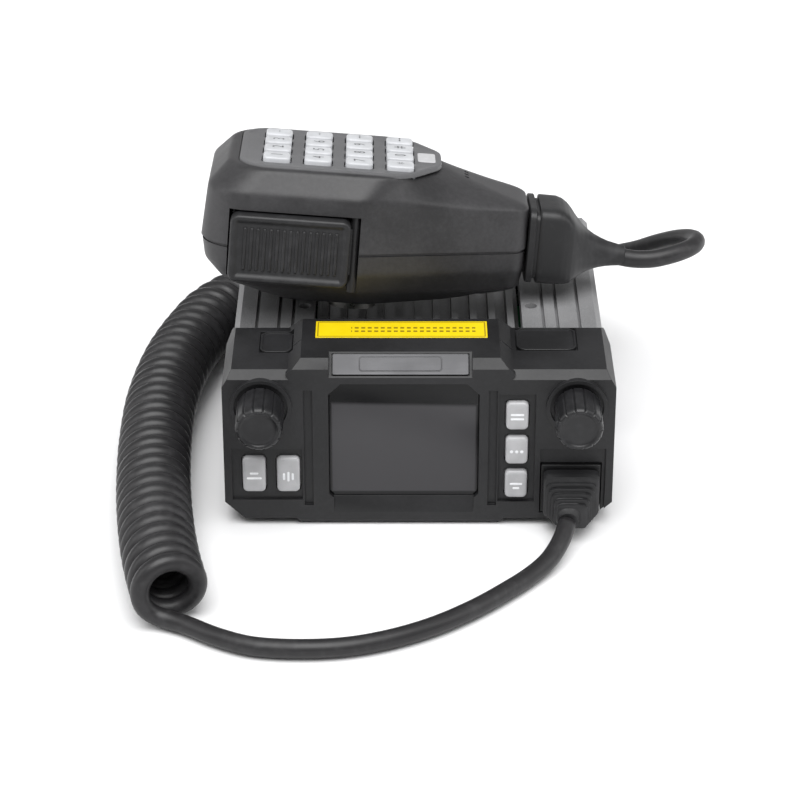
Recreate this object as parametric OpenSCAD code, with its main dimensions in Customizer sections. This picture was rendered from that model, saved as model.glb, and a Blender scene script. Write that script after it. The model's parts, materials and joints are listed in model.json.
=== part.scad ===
// Mini mobile transceiver with its hand microphone lying across the top and its curly cord beside it.
// Origin: middle of the flat underside. Front faces -Y, +X to the right, +Z up.

/* [Radio] */
// Width of the front panel
panel_w = 98.4; // [96:0.2:101]
// Y of the front face
face_y = -57; // [-58:0.5:-56]
// Y of the panel's back edge
panel_back_y = -29; // [-31:0.5:-28]
// Height of the panel's shoulders
shoulder_z = 43.5; // [42.5:0.1:44]
// Height of the raised middle
crown_z = 46.3; // [45.5:0.1:47]
// Width of the finned body
body_w = 95.2; // [94:0.2:96]
// Y of the body's rear wall, outside
rear_y = 42; // [41:0.5:43]
// Height of the body's side flanks
flank_z = 41; // [40:0.5:42]
// Height of the middle fins
fin_z = 35.8; // [34:0.2:36]
// Wall of the body's casting
wall = 3; // [2.5:0.1:3.4]

/* [Controls] */
// Radius of a knob's cap
knob_r = 6.05; // [5.8:0.05:6.2]
// How far a knob stands out of the face
knob_len = 13; // [11:0.5:13.5]
// Distance of each knob from the middle
knob_x = 39.5; // [38.5:0.1:40]
// Height of the knobs' axes
knob_z = 34.2; // [33:0.1:35]
// Radius of the knob shafts
shaft_r = 3; // [2.5:0.1:3]
// Radial running clearance of the shafts
shaft_gap = 0.05; // [0.02:0.01:0.1]

/* [Microphone] */
// Half width of the shell at its joint
mic_hw = 27; // [26:0.5:27]
// Height of the face above the joint
mic_face_z = 19.3; // [19:0.1:19.6]
// Depth of the back below the joint
mic_back_z = 16.5; // [16:0.1:16.6]
// Wall of the shells
mic_wall = 2.2; // [1.8:0.1:2.4]
// Spacing of the keys along the microphone
mic_key_dx = 10.57; // [10:0.01:10.8]
// Spacing of the keys across the microphone
mic_key_dy = 8.4; // [8:0.1:8.6]

/* [Cord] */
// Radius of the straight cord
cord_r = 2.4; // [2:0.1:2.5]
// Radius of the curly part over its turns
coil_r = 9.3; // [8:0.1:9.4]

/* [Fan] */
// Width of the fan's frame
fan_w = 30; // [28:1:30]
// Depth of the fan's frame
fan_d = 8; // [6:1:8]
// Number of blades
blades = 7; // [5:1:9]

/* [Hidden] */
$fn = 48;
eps = 0.01;
big = 200;
crown_left = -29.5;
crown_right = 20.3;
crown_mid = (crown_left + crown_right) / 2;
crown_half = (crown_right - crown_left) / 2;
shoulder_half = panel_w / 2;
skin = 2.4;
screen_mid = crown_mid + 0.85;
screen_half = 18.9;
screen_low = 7.9;
screen_top = 40.3;
screen_deep = 2;
knob_flats = 14;
flat_turn = 360 / knob_flats;
key_front = face_y - 0.6;
key_flange_y = -53.8;
key_flange_d = 0.8;
jack_x = 38.5;
fan_z = 22;
socket_x = 30;
socket_z = 27;
inlet_x = -31;
inlet_z = 33;
speaker_z = 22.4;
left_keys = [-41.6, -32.95];
left_key_z = 14.65;
left_key_size = [5.8, 9.8];
right_key_x = 24.65;
right_keys = [31.4, 21.6, 11.9];
right_key_size = [5.6, 7.6];
screw_xy = [[-41, -23], [41, -23], [-41, 35], [41, 35]];
bracket_holes = [-8, 27];
bracket_z = 22;
mic_place = [-15, -3.4, 59];
mic_turn = [-9, 4.5, 0];
mic_cols = [for (i = [0:3]) -23 + i * mic_key_dx];
mic_rows = [for (j = [0:3]) (j - 1.5) * mic_key_dy];
mic_key_size = [7, 6.4];
mic_screws_xy = [[-33, -16], [-33, 16], [31, -7.5], [31, 7.5]];
ptt_x = [-31.8, -2.9];
ptt_half_z = 8.8;
ptt_pin = [-1.8, -24.3];
ptt_pin_r = 1.2;
hook_x = -1;

// Straight cord from the plug to the curly part: it leaves the boot, drops to the table and sweeps round
plug_route = [[37.2, -68.5, 7], [35.4, -74, 5.2], [32.2, -80, 3.4], [27.5, -86, 2.5], [21, -93.5, 2.5],
    [13, -101.5, 2.5], [3.5, -109, 2.5], [-6.5, -114.5, 2.5], [-17, -118, 2.5], [-28, -119, 2.5],
    [-39, -118, 2.5], [-47, -114.6, 2.5], [-53.5, -110.3, 2.5], [-58.3, -106.6, 2.6]];
// Middle line of the curly part: beside the radio, round its rear corner and behind it
coil_route = [[-59.5, -105.5, 9.4], [-62.5, -92, 9.4], [-65, -77, 9.4], [-67, -60, 9.4], [-68.3, -43, 9.4],
    [-69, -25, 9.4], [-68.8, -7, 9.4], [-66.6, 13, 9.4], [-62.6, 30, 9.4], [-57.2, 44.5, 9.4],
    [-47.5, 56, 9.4], [-34, 62.5, 9.4], [-18, 64.5, 9.4], [-2, 65, 9.4], [14, 64.5, 9.4], [26, 63.5, 9.4]];
// Straight cord from the curly part up to the microphone's boot
mic_route = [[26.4, 63.5, 9.4], [33, 63.3, 9.8], [41, 62.3, 12], [50, 59.5, 16.5], [58.5, 54.8, 22.5],
    [66, 48, 29.5], [71.5, 39.8, 36], [75, 30.5, 41.6], [76, 20.5, 45.6], [74.5, 11, 48.4], [70.5, 3.8, 50.4],
    [64.5, -0.9, 51.8], [58, -3, 52.5], [51.4, -3.6, 52.8]];

// ---- shared shapes ----

module box(x, y, z) {
    translate([x[0], y[0], z[0]]) cube([x[1] - x[0], y[1] - y[0], z[1] - z[0]]);
}

// Rounded rectangle, centred
module soft_rect(size, r) {
    square([size[0] - 2 * r, size[1]], center = true);
    square([size[0], size[1] - 2 * r], center = true);
    for (sx = [-1, 1], sy = [-1, 1])
        translate([sx * (size[0] / 2 - r), sy * (size[1] / 2 - r)]) circle(r = r, $fn = 24);
}

// Solid whose X-Z outline is drawn in 2D and which runs from y0 to y1
module along_y(y0, y1) {
    translate([0, y1, 0]) rotate([90, 0, 0]) linear_extrude(y1 - y0) children();
}

// Solid whose Y-Z outline is drawn in 2D and which runs from x0 to x1
module along_x(x0, x1) {
    translate([x0, 0, 0]) rotate([90, 0, 90]) linear_extrude(x1 - x0) children();
}

// Solid rod along Y
module rod_y(x, z, r, y0, y1) {
    translate([x, y1, z]) rotate([90, 0, 0]) cylinder(r = r, h = y1 - y0);
}

module rod_z(x, y, r, z0, z1) {
    translate([x, y, z0]) cylinder(r = r, h = z1 - z0);
}

// Plain twelve-sided clearance holes along Y and Z
module hole_y(x, z, r, y0, y1) {
    translate([x, y1, z]) rotate([90, 0, 0]) cylinder(r = r, h = y1 - y0, $fn = 12);
}

module hole_z(x, y, r, z0, z1) {
    translate([x, y, z0]) cylinder(r = r, h = z1 - z0, $fn = 12);
}

function unit(v) = v / norm(v);
function heading(p, i) = unit(p[min(i + 1, len(p) - 1)] - p[max(i - 1, 0)]);

// Tube swept along hand-chosen points: each ring stands square to the route
module swept_tube(p, r, sides) {
    rings = [for (i = [0:len(p) - 1])
        let (t = heading(p, i), a = unit(cross(t, [0, 0, 1])), b = cross(a, t))
        for (k = [0:sides - 1]) p[i] + r * (a * cos(360 * k / sides) + b * sin(360 * k / sides))];
    last = (len(p) - 1) * sides;
    faces = concat(
        [[for (k = [0:sides - 1]) k]],
        [for (i = [0:len(p) - 2], k = [0:sides - 1])
            let (m = (k + 1) % sides, next = (i + 1) * sides)
                [i * sides + m, i * sides + k, next + k, next + m]],
        [[for (k = [sides - 1:-1:0]) last + k]]);
    polyhedron(points = rings, faces = faces, convexity = 10);
}

// ---- radio casing ----

function panel_outline(top, grow) = [
    [-shoulder_half - grow, 6.5], [-shoulder_half - grow, top - 4.2], [-shoulder_half + 2.4 - grow, top],
    [shoulder_half - 2.4 + grow, top], [shoulder_half + grow, top - 4.2], [shoulder_half + grow, 6.5],
    [shoulder_half - 5 + grow, 1.8 - grow], [-shoulder_half + 5 - grow, 1.8 - grow]];
crown_outline = [[crown_left - 1.5, 1.8], [crown_left, 0], [crown_right, 0], [crown_right + 1.5, 1.8],
    [crown_right + 1.5, 38], [crown_right + 3.7, shoulder_z - 0.5], [crown_right, crown_z],
    [crown_left, crown_z], [crown_left - 3.7, shoulder_z - 0.5], [crown_left - 1.5, 38]];
shoulder_profile = [[face_y, 0], [face_y, shoulder_z - 2], [face_y + 2, shoulder_z],
    [panel_back_y - 3, shoulder_z], [panel_back_y, shoulder_z - 1.4], [panel_back_y, 0]];
crown_profile = [[face_y, 1.2], [face_y, crown_z - 1.9], [face_y + 2.8, crown_z],
    [panel_back_y - 3.4, crown_z], [panel_back_y - 1.4, shoulder_z - 1], [panel_back_y, shoulder_z - 1.4],
    [panel_back_y, 0], [face_y + 1.2, 0]];
side_plan = [[-shoulder_half - 1, face_y - 1], [shoulder_half + 1, face_y - 1],
    [shoulder_half + 1, panel_back_y - 7],
    [shoulder_half - 1.4, panel_back_y + 0.5], [-shoulder_half + 1.4, panel_back_y + 0.5],
    [-shoulder_half - 1, panel_back_y - 7]];

// Outline of the screen's recess, with cut corners
module screen_outline(inset) translate([screen_mid, 0]) {
    w = screen_half - inset;
    top = screen_top - inset;
    low = screen_low + inset;
    polygon([[-w, low + 1], [-w, top - 3], [-w + 3, top], [w - 3, top], [w, top - 3], [w, low + 1],
        [w - 1, low], [-w + 1, low]]);
}

// The name plate's own frame, flat on its sloping seat
module at_plate() translate([crown_mid, face_y + 3.1, 44.2]) rotate([34.1, 0, 0]) children();

module panel_blank() {
    intersection() {
        union() {
            intersection() {
                along_y(face_y, panel_back_y) polygon(panel_outline(shoulder_z, 0));
                along_x(-big, big) polygon(shoulder_profile);
            }
            intersection() {
                along_y(face_y, panel_back_y) polygon(crown_outline);
                along_x(-big, big) polygon(crown_profile);
            }
        }
        linear_extrude(big) polygon(side_plan);
    }
}

module key_hole(x, z, size) {
    translate([x, 0, z]) along_y(face_y - 2, key_flange_y + 1) soft_rect(size + [0.6, 0.6], 1.3);
}

module front_panel() color("#1b1c1f") difference() {
    union() {
        panel_blank();
        for (s = [-1, 1]) rod_y(s * knob_x, knob_z, 7.7, face_y - 1.2, face_y + 1);
    }
    // Hollow inside, open at the back
    box([-46.2, 46.2], [face_y + 3, panel_back_y + 1], [4, shoulder_z - skin]);
    box([crown_left + 1, crown_right - 1], [face_y + 6, panel_back_y + 1], [2.4, crown_z - 2.2]);
    // Recess and opening for the screen, with a sloping lower edge
    along_y(face_y - 1, face_y + screen_deep) screen_outline(0);
    box([screen_mid - 16.8, screen_mid + 16.8], [face_y - 1, face_y + 4], [10.5, 36]);
    along_x(screen_mid - 17.7, screen_mid + 17.7)
        polygon([[face_y - 1, 3.6], [face_y, 3.6], [face_y + 1.2, 8.2], [face_y - 1, 8.2]]);
    // Narrow pockets each side of the screen
    for (x = [-27.8, 18.6]) box([x - 1.1, x + 1.1], [face_y - 1, face_y + 1], [5.5, 38.5]);
    // Lower steps behind the left keys and round the jack, and the pocket round the right keys
    box([-47.2, -29.4], [face_y - 1, face_y + 0.8], [7.2, 21.9]);
    box([30.7, 47.2], [face_y - 1, face_y + 0.8], [3.4, 21.9]);
    // Seams across the slanting sides of the crown
    for (s = [-1, 1]) translate([crown_mid + s * (crown_half + 1.85), -43.9, crown_z - 1.65])
        rotate([0, s * 41.7, 0]) cube([4.6, 0.3, 0.8], center = true);
    box([right_key_x - 4.6, right_key_x + 4.6], [face_y - 1, face_y + 0.9], [6.6, 37.4]);
    for (x = left_keys) key_hole(x, left_key_z, left_key_size);
    for (z = right_keys) key_hole(right_key_x, z, right_key_size);
    // Knob collars and bushings
    for (s = [-1, 1]) {
        rod_y(s * knob_x, knob_z, 6.7, face_y - 2, face_y - 0.3);
        rod_y(s * knob_x, knob_z, 3.9, face_y - 2, face_y + 5);
    }
    // Microphone jack
    box([jack_x - 7.8, jack_x + 7.8], [face_y - 1, -42], [3.4, 17.6]);
    // Seat of the name plate, cut deeper than the bevel of the crown
    at_plate() {
        translate([-17.2, -3.2, -0.5]) cube([34.4, 6.4, 2]);
        translate([-17.9, -5, 0]) cube([35.8, 9, 4]);
    }
    // Seats of the label and the clips
    box([-26.3, 17.6], [-43.2, -33.7], [crown_z - 0.3, crown_z + 1]);
    box([-40.3, -31.7], [-45.9, -34.1], [shoulder_z - 0.8, shoulder_z + 1]);
    box([24.5, 40.2], [-44.7, -31.9], [shoulder_z - 0.8, shoulder_z + 1]);
}

module screen_window() color("#0b0c0e", 0.9)
    along_y(face_y + screen_deep - 0.75, face_y + screen_deep - 0.05) screen_outline(0.15);

module screen_module() color("#2a2e33") box([-21, 14], [face_y + 3.3, -47.2], [6.5, 36]);

module name_plate() color("#3a3c40") at_plate() translate([-17, -3, -0.45]) cube([34, 6, 0.9]);

module heat_label() color("#f0c419") box([-26.1, 17.4], [-43, -33.9], [crown_z - 0.28, crown_z + 0.05]);

module panel_clips() color("#232427") {
    box([-40, -32], [-45.6, -34.4], [shoulder_z - 0.75, shoulder_z + 0.15]);
    box([24.8, 39.9], [-44.4, -32.2], [shoulder_z - 0.75, shoulder_z + 0.15]);
}

module chassis() color("#2b2c2f") difference() {
    union() {
        difference() {
            along_y(panel_back_y + 0.3, rear_y) polygon([[-body_w / 2, 1.8], [-body_w / 2, flank_z - 1.5],
                [-body_w / 2 + 1.5, flank_z], [body_w / 2 - 1.5, flank_z], [body_w / 2, flank_z - 1.5],
                [body_w / 2, 1.8]]);
            // Fin bed between the flanks
            box([-27, 27], [panel_back_y - 1, rear_y + 1], [30, flank_z + 1]);
            // Inside of the casting, open below and in front
            box([-body_w / 2 + wall, body_w / 2 - wall], [panel_back_y - 1, rear_y - wall], [0, 26]);
            for (x = [-35.5, 35.5]) box([x - 8.5, x + 8.5], [panel_back_y - 1, rear_y - 6], [25, 36]);
        }
        // Middle fins
        for (x = [-24.5:4.9:24.6]) box([x - 0.9, x + 0.9], [panel_back_y + 0.3, rear_y], [29.5, fin_z]);
        // Bosses for the bracket screws and for the bottom cover
        for (x = [-43.75, 43.75], y = bracket_holes)
            box([x - 2.25, x + 2.25], [y - 5, y + 5], [bracket_z - 5, 36.5]);
        for (p = screw_xy) rod_z(p[0], p[1], 4.2, 1.8, 36.5);
    }
    // Long grooves along the flanks and down the sides
    along = [panel_back_y - 1, rear_y + 1];
    for (s = [-1, 1], x = [32.5, 36.1, 41.8])
        box([s * x - 0.4, s * x + 0.4], along, [flank_z - 1.4, flank_z + 1]);
    for (x = [-body_w / 2, body_w / 2], z = [9, 14, 32, 36])
        box([x - 0.7, x + 0.7], along, [z - 0.5, z + 0.5]);
    for (s = [-1, 1]) hole_z(s * 29.6, -14, 1.6, flank_z - 4, flank_z + 1);
    // Threaded holes for the bracket
    for (s = [-1, 1], y = bracket_holes)
        translate([s * (body_w / 2 - 3.5), y, bracket_z]) rotate([0, 90, 0])
            cylinder(r = 2, h = 8, center = true);
    for (p = screw_xy) hole_z(p[0], p[1], 1.35, 1, 14);
    // Rear wall: fan duct, antenna, power inlet, speaker jack
    hole_y(0, fan_z - 4, 11.5, rear_y - 5, rear_y + 1);
    hole_y(socket_x, socket_z - 4, 5, rear_y - 7, rear_y + 1);
    box([inlet_x - 6.2, inlet_x + 6.2], [rear_y - 7, rear_y + 1], [inlet_z - 5.1, inlet_z - 0.8]);
    hole_y(inlet_x, speaker_z, 4.3, rear_y - 7, rear_y + 1);
}

module bottom_cover() color("#242528") difference() {
    box([-body_w / 2, body_w / 2], [panel_back_y + 0.3, rear_y], [0, 1.6]);
    for (p = screw_xy) {
        rod_z(p[0], p[1], 1.6, -1, 3);
        rod_z(p[0], p[1], 3, -1, 0.9);
    }
    // Sound slots, clear of the very middle of the underside
    for (i = [0:5]) translate([0, 2 + 4 * i, 0]) linear_extrude(6, center = true) soft_rect([28, 1.6], 0.7);
}

// Screws of the bottom cover and of the fan
module casing_screws() color("#55585c") {
    for (p = screw_xy) {
        rod_z(p[0], p[1], 2.8, 0.1, 0.85);
        rod_z(p[0], p[1], 1.2, 0.5, 12);
    }
    for (sx = [-1, 1], sz = [-1, 1]) {
        rod_y(sx * 12.5, fan_z + sz * 12.5, 1.2, rear_y + 0.4, rear_y + fan_d + 1.6);
        rod_y(sx * 12.5, fan_z + sz * 12.5, 2.2, rear_y + fan_d + 1.5, rear_y + fan_d + 2.7);
    }
}

// ---- controls ----

// Cap with flats all round and a dished front, and its shaft, which turns in the bushing behind the panel
module knob(x) difference() {
    union() {
        intersection() {
            translate([x, 0, knob_z]) along_y(face_y - knob_len, face_y - 0.9)
                polygon([for (i = [0:knob_flats - 1]) knob_r * [cos(i * flat_turn), sin(i * flat_turn)]]);
            translate([x, face_y - knob_len, knob_z]) rotate([-90, 0, 0])
                cylinder(r1 = knob_r - 0.8, r2 = knob_r + 12, h = knob_len);
        }
        rod_y(x, knob_z, shaft_r, face_y - 1, -48);
    }
    rod_y(x, knob_z, knob_r - 1.8, face_y - knob_len - 1, face_y - knob_len + 0.5);
}

module left_knob() color("#17181a") knob(-knob_x);
module right_knob() color("#17181a") knob(knob_x);

module knob_base(x) difference() {
    union() {
        box([x - 6, x + 6], [-53.8, -47.1], [knob_z - 6, knob_z + 6]);
        rod_y(x, knob_z, 3.7, face_y + 0.2, -53);
    }
    rod_y(x, knob_z, shaft_r + shaft_gap, face_y - 2, -47.6);
}

module volume_pot() color("#6f757b") knob_base(-knob_x);
module channel_encoder() color("#3f6b48") knob_base(knob_x);

module front_key(x, z, size) color("#9a9ca1") translate([x, 0, z]) {
    along_y(key_front, key_flange_y + key_flange_d) soft_rect(size, 1.1);
    along_y(key_flange_y, key_flange_y + key_flange_d) soft_rect(size + [1.4, 1.4], 1.1);
}

module key_mat() color("#3b3d40") {
    pad = [-52.2, -50.6];
    box([-46, -29], pad, [8, 21.4]);
    box([right_key_x - 4.3, 29.4], pad, [7, 36.6]);
    box([-29.5, right_key_x - 4], pad, [4.4, 6.1]);
    box([-29.5, -28.5], pad, [4.4, 12]);
    box([right_key_x - 5, right_key_x - 4], pad, [4.4, 12]);
    for (x = left_keys) rod_y(x, left_key_z, 1.6, -50.7, -47.2);
    for (z = right_keys) rod_y(right_key_x, z, 1.6, -50.7, -47.2);
}

module mic_jack() color("#1a1a1c") difference() {
    box([jack_x - 7.5, jack_x + 7.5], [face_y, -43], [3.7, 17.3]);
    box([jack_x - 6, jack_x + 6], [face_y - 1, -45], [6.3, 14.7]);
}

module front_board() color("#1f5a36") difference() {
    box([-45.5, 45.5], [-47, -45.4], [4.6, 40.6]);
    box([jack_x - 8, 46], [-48, -44], [4, 18]);
}

// ---- inside the body ----

module main_board() color("#1f5a36") {
    difference() {
        box([-43.8, 43.8], [-42.4, 38], [14, 15.6]);
        for (p = screw_xy) rod_z(p[0], p[1], 4.8, 13, 17);
    }
    for (x = [-22, -6, 10]) box([x - 4, x + 4], [-8, 4], [15.5, 25.7]);
    box([22, 36], [-20, 8], [15.5, 21]);
}

module speaker() color("#33363a") {
    rod_z(0, 12, 17.5, 1.7, 4);
    rod_z(0, 12, 11, 3.9, 10.5);
}

module fan_frame() color("#1d1e20") difference() {
    box([-fan_w / 2, fan_w / 2], [rear_y + 0.3, rear_y + 0.3 + fan_d], [fan_z - 15, fan_z - 15 + fan_w]);
    rod_y(0, fan_z, 13.6, rear_y - 1, rear_y + 0.3 + fan_d - 1.5 + 2.5);
    for (sx = [-1, 1], sz = [-1, 1]) rod_y(sx * 12.5, fan_z + sz * 12.5, 1.3, rear_y - 1, rear_y + 10);
}

module fan_rotor() color("#2a2b2e") {
    rod_y(0, fan_z, 6.5, rear_y + 1.6, rear_y + 7.2);
    for (i = [0:blades - 1]) translate([0, rear_y + 4.4, fan_z]) rotate([0, i * 360 / blades, 0])
        translate([9.4, 0, 0]) rotate([38, 0, 0]) cube([6.6, 5.2, 0.9], center = true);
}

module fan_guard() color("#8d9298") {
    y0 = rear_y + fan_d + 0.4;
    difference() {
        union() {
            for (r = [13.8, 9.2, 4.6]) difference() {
                rod_y(0, fan_z, r, y0, y0 + 1);
                rod_y(0, fan_z, r - 1, y0 - 1, y0 + 2);
            }
            for (a = [45:90:315]) translate([0, y0, fan_z]) rotate([0, a, 0]) {
                translate([4.2, 0, -0.6]) cube([13, 1, 1.2]);
                translate([17.68, 0, 0]) rotate([-90, 0, 0]) cylinder(r = 2.4, h = 1);
            }
        }
        for (sx = [-1, 1], sz = [-1, 1]) rod_y(sx * 12.5, fan_z + sz * 12.5, 1.3, y0 - 1, y0 + 2);
    }
}

module antenna_socket() color("#c3c6ca") difference() {
    union() {
        rod_y(socket_x, socket_z, 7.9, rear_y + 1.5, rear_y + 14);
        box([socket_x - 11, socket_x + 11], [rear_y + 0.1, rear_y + 2.1], [socket_z - 9, socket_z + 11]);
    }
    rod_y(socket_x, socket_z, 6.2, rear_y + 11, rear_y + 15);
    rod_y(socket_x, socket_z, 2, rear_y + 4, rear_y + 15);
}

module power_inlet() color("#1c1d1f") difference() {
    union() {
        box([inlet_x - 8, inlet_x + 8], [rear_y + 0.1, rear_y + 8], [inlet_z - 5, inlet_z + 5]);
        box([inlet_x - 6, inlet_x + 6], [rear_y - 6.5, rear_y + 0.3], [inlet_z - 4.9, inlet_z - 1]);
    }
    box([inlet_x - 6.5, inlet_x + 6.5], [rear_y - 1 + 1.5, rear_y + 9], [inlet_z - 3.4, inlet_z + 3.4]);
}

module speaker_jack() color("#b9bcc0") difference() {
    union() {
        rod_y(inlet_x, speaker_z, 4, rear_y - 12, rear_y + 0.1);
        rod_y(inlet_x, speaker_z, 4.6, rear_y + 0.1, rear_y + 1.8);
    }
    rod_y(inlet_x, speaker_z, 1.8, rear_y - 10, rear_y + 3);
}

// ---- hand microphone, drawn lying face up with its joint at z = 0 and its cable end at +X ----

module in_mic() {
    translate(mic_place) rotate(mic_turn) children();
}

// Each level: z, head x, half width there, waist x, half width there, tail x, half width there
front_levels = [[0, -41, mic_hw, -2, mic_hw, 43, 14], [13.5, -40, mic_hw - 1, -2, mic_hw - 1, 43, 12.5],
    [mic_face_z, -35, mic_hw - 4.5, 2, mic_hw - 5, 21, 6]];
back_levels = [[0, -41, mic_hw, -2, mic_hw, 43, 14], [-6, -40, mic_hw - 0.8, -2, mic_hw - 0.8, 43, 13.5],
    [-11.5, -35.5, mic_hw - 4, -2, mic_hw - 4, 42, 11],
    [-mic_back_z, -25, mic_hw - 11, 0, mic_hw - 11, 24, 7.5]];
head_r = 11;
tail_r = 5.5;

// Hull of one rounded outline per level, all drawn in by inset
module mic_form(levels, inset, squeeze) {
    hull() for (l = levels, s = [-1, 1]) translate([0, 0, l[0] * squeeze - (l[0] > 0 ? eps : 0)]) {
        translate([l[1] + head_r, s * (l[2] - head_r)]) cylinder(r = head_r - inset, h = eps, $fn = 32);
        translate([l[3], s * (l[4] - head_r)]) cylinder(r = head_r - inset, h = eps, $fn = 32);
        translate([l[5] - tail_r, s * (l[6] - tail_r)]) cylinder(r = tail_r - inset, h = eps, $fn = 32);
    }
}

module plate_outline(inset) {
    for (s = [-1, 1]) translate([-24.5, s * 12.7]) circle(r = 8 - inset);
    translate([-32.5 + inset, -12.7]) square([40.5, 25.4]);
    translate([-24.5, -20.7 + inset]) square([26.5, 41.4 - 2 * inset]);
    polygon([[2, -20.7 + inset], [9, -18.5 + inset], [15, -13 + inset], [19.2 - inset, -5], [20 - inset, 0],
        [19.2 - inset, 5], [15, 13 - inset], [9, 18.5 - inset], [2, 20.7 - inset]]);
}

module ptt_slot() {
    box([ptt_x[0] - 0.5, ptt_x[1] + 2.6], [-32, -22.9], [-ptt_half_z - 0.5, ptt_half_z + 0.5]);
    box([ptt_x[0] - 0.5, ptt_x[1] - 6], [-30, -21.2], [-ptt_half_z - 0.5, ptt_half_z + 0.5]);
}

module ptt_pivot(z0, z1) {
    box([ptt_pin[0] - 2.4, ptt_pin[0] + 2.4], [ptt_pin[1] - 1.6, ptt_pin[1] + 2], [z0, z1]);
}

module mic_front_shell() color("#202124") in_mic() difference() {
    union() {
        difference() {
            mic_form(front_levels, 0, 1);
            translate([0, 0, -eps]) mic_form(front_levels, mic_wall, 0.89);
        }
        for (p = mic_screws_xy) rod_z(p[0], p[1], 2.8, 0.4, p[0] > 0 ? 15.2 : 17.4);
        ptt_pivot(ptt_half_z + 0.5, ptt_half_z + 3.2);
    }
    ptt_slot();
    rod_z(ptt_pin[0], ptt_pin[1], ptt_pin_r + 0.05, 5, ptt_half_z + 2.2);
    for (p = mic_screws_xy) rod_z(p[0], p[1], 1.1, -1, 9);
    translate([0, 0, mic_face_z - 0.7]) linear_extrude(3) plate_outline(-0.2);
    box([-28.6, 14.2], [-17.4, 17.4], [10, 30]);
    for (i = [-1:1]) rod_z(26.5, i * 2.6, 0.7, 10, 30);
}

module mic_back_shell() color("#1d1e21") in_mic() difference() {
    union() {
        difference() {
            translate([0, 0, -0.1]) mic_form(back_levels, 0, 1);
            translate([0, 0, eps]) mic_form(back_levels, mic_wall, 0.87);
        }
        for (p = mic_screws_xy) rod_z(p[0], p[1], 2.8, p[0] > 0 ? -10.5 : -11, -0.1);
        ptt_pivot(-ptt_half_z - 3.2, -ptt_half_z - 0.5);
    }
    ptt_slot();
    rod_z(ptt_pin[0], ptt_pin[1], ptt_pin_r + 0.05, -ptt_half_z - 2.2, -5);
    for (p = mic_screws_xy) {
        rod_z(p[0], p[1], 1.3, -20, 1);
        rod_z(p[0], p[1], 2.3, -20, -6);
    }
    rod_z(hook_x, 0, 2.05, -20, -10);
}

module keypad_plate() color("#4a4c50") in_mic() difference() {
    translate([0, 0, mic_face_z - 0.65]) linear_extrude(1.1) plate_outline(0);
    for (x = mic_cols, y = mic_rows) translate([x, y, mic_face_z - 2])
        linear_extrude(4) soft_rect(mic_key_size + [0.6, 0.6], 1.4);
}

module mic_key(n) color("#c9cbcf") in_mic() {
    at = [mic_cols[floor((n - 1) / 4)], mic_rows[(n - 1) % 4], 0];
    translate(at + [0, 0, mic_face_z - 2.3]) linear_extrude(4) soft_rect(mic_key_size, 1.2);
    translate(at + [0, 0, mic_face_z - 2.3]) linear_extrude(0.8) soft_rect(mic_key_size + [1.2, 1.2], 1.2);
}

module mic_key_mat() color("#3b3d40") in_mic() {
    box([-28, 13.6], [-16.8, 16.8], [14.7, 16.2]);
    for (x = mic_cols, y = mic_rows) rod_z(x, y, 1.6, 9.7, 14.8);
}

module mic_board() color("#1f5a36") in_mic() {
    box([-29, 14], [-18, 18], [8, 9.6]);
    box([13.9, 25.1], [-14.5, 14.5], [8, 9.6]);
    box([-26, -18], [-18, -14], [-1, 8.1]);
}

module ptt_button() color("#242528") in_mic() {
    difference() {
        union() {
            translate([(ptt_x[0] + ptt_x[1]) / 2, -24, 0]) rotate([90, 0, 0]) linear_extrude(4.6)
                soft_rect([ptt_x[1] - ptt_x[0], 2 * ptt_half_z], 2);
            translate([(ptt_x[0] + ptt_x[1]) / 2, -28.5, 0]) rotate([90, 0, 0]) linear_extrude(1)
                soft_rect([ptt_x[1] - ptt_x[0] - 1.6, 2 * ptt_half_z - 1.6], 1.6);
        }
        for (i = [0:13]) box([-29.6 + i * 1.75, -29.6 + i * 1.75 + 0.7], [-31, -29.1], [-5.4, 5.6]);
    }
    rod_z(ptt_pin[0], ptt_pin[1], ptt_pin_r, -ptt_half_z - 2, ptt_half_z + 2);
    box([ptt_x[1] - 1, ptt_pin[0]], [ptt_pin[1] - 1, ptt_pin[1] + 0.8], [-6, 6]);
}

module mic_capsule() color("#9aa0a6") in_mic() rod_z(28.6, 0, 3.2, 3, 9.2);

module hanger_button() color("#b4b7bb") in_mic() {
    rod_z(hook_x, 0, 2, -15.5, -12.4);
    rod_z(hook_x, 0, 4, -mic_back_z - 2.6, -mic_back_z - 0.2);
    rod_z(hook_x, 0, 6.5, -mic_back_z - 4.3, -mic_back_z - 2.5);
    rod_z(hook_x, 0, 2, -mic_back_z - 0.3, -12.4);
}

module mic_screws() color("#55585c") in_mic() for (p = mic_screws_xy) {
    rod_z(p[0], p[1], 2.2, -8.4, -6.1);
    rod_z(p[0], p[1], 1.05, -6.3, 8);
}

module rod_x(x, y, z, r, h) {
    translate([x, y, z]) rotate([0, 90, 0]) cylinder(r = r, h = h, $fn = 32);
}

module mic_boot() color("#17181a") in_mic() {
    hull() {
        translate([43.3, -11, -8.5]) cube([2.6, 22, 17]);
        translate([45.6, -10.6, -8.2]) cube([0.4, 21.2, 16.4]);
    }
    hull() for (y = [-8.4, 8.4], z = [-8, 6.4]) rod_x(45.8, y, z, 1.8, 10.2);
    hull() {
        for (y = [-5, 5], z = [-5.2, 3.6]) rod_x(55.9, y, z, 2, 0.2);
        rod_x(60, 0, -0.9, 4.6, 0.2);
        rod_x(66.4, 0, -0.9, 3.2, 0.2);
    }
}

// ---- cord ----

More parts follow.
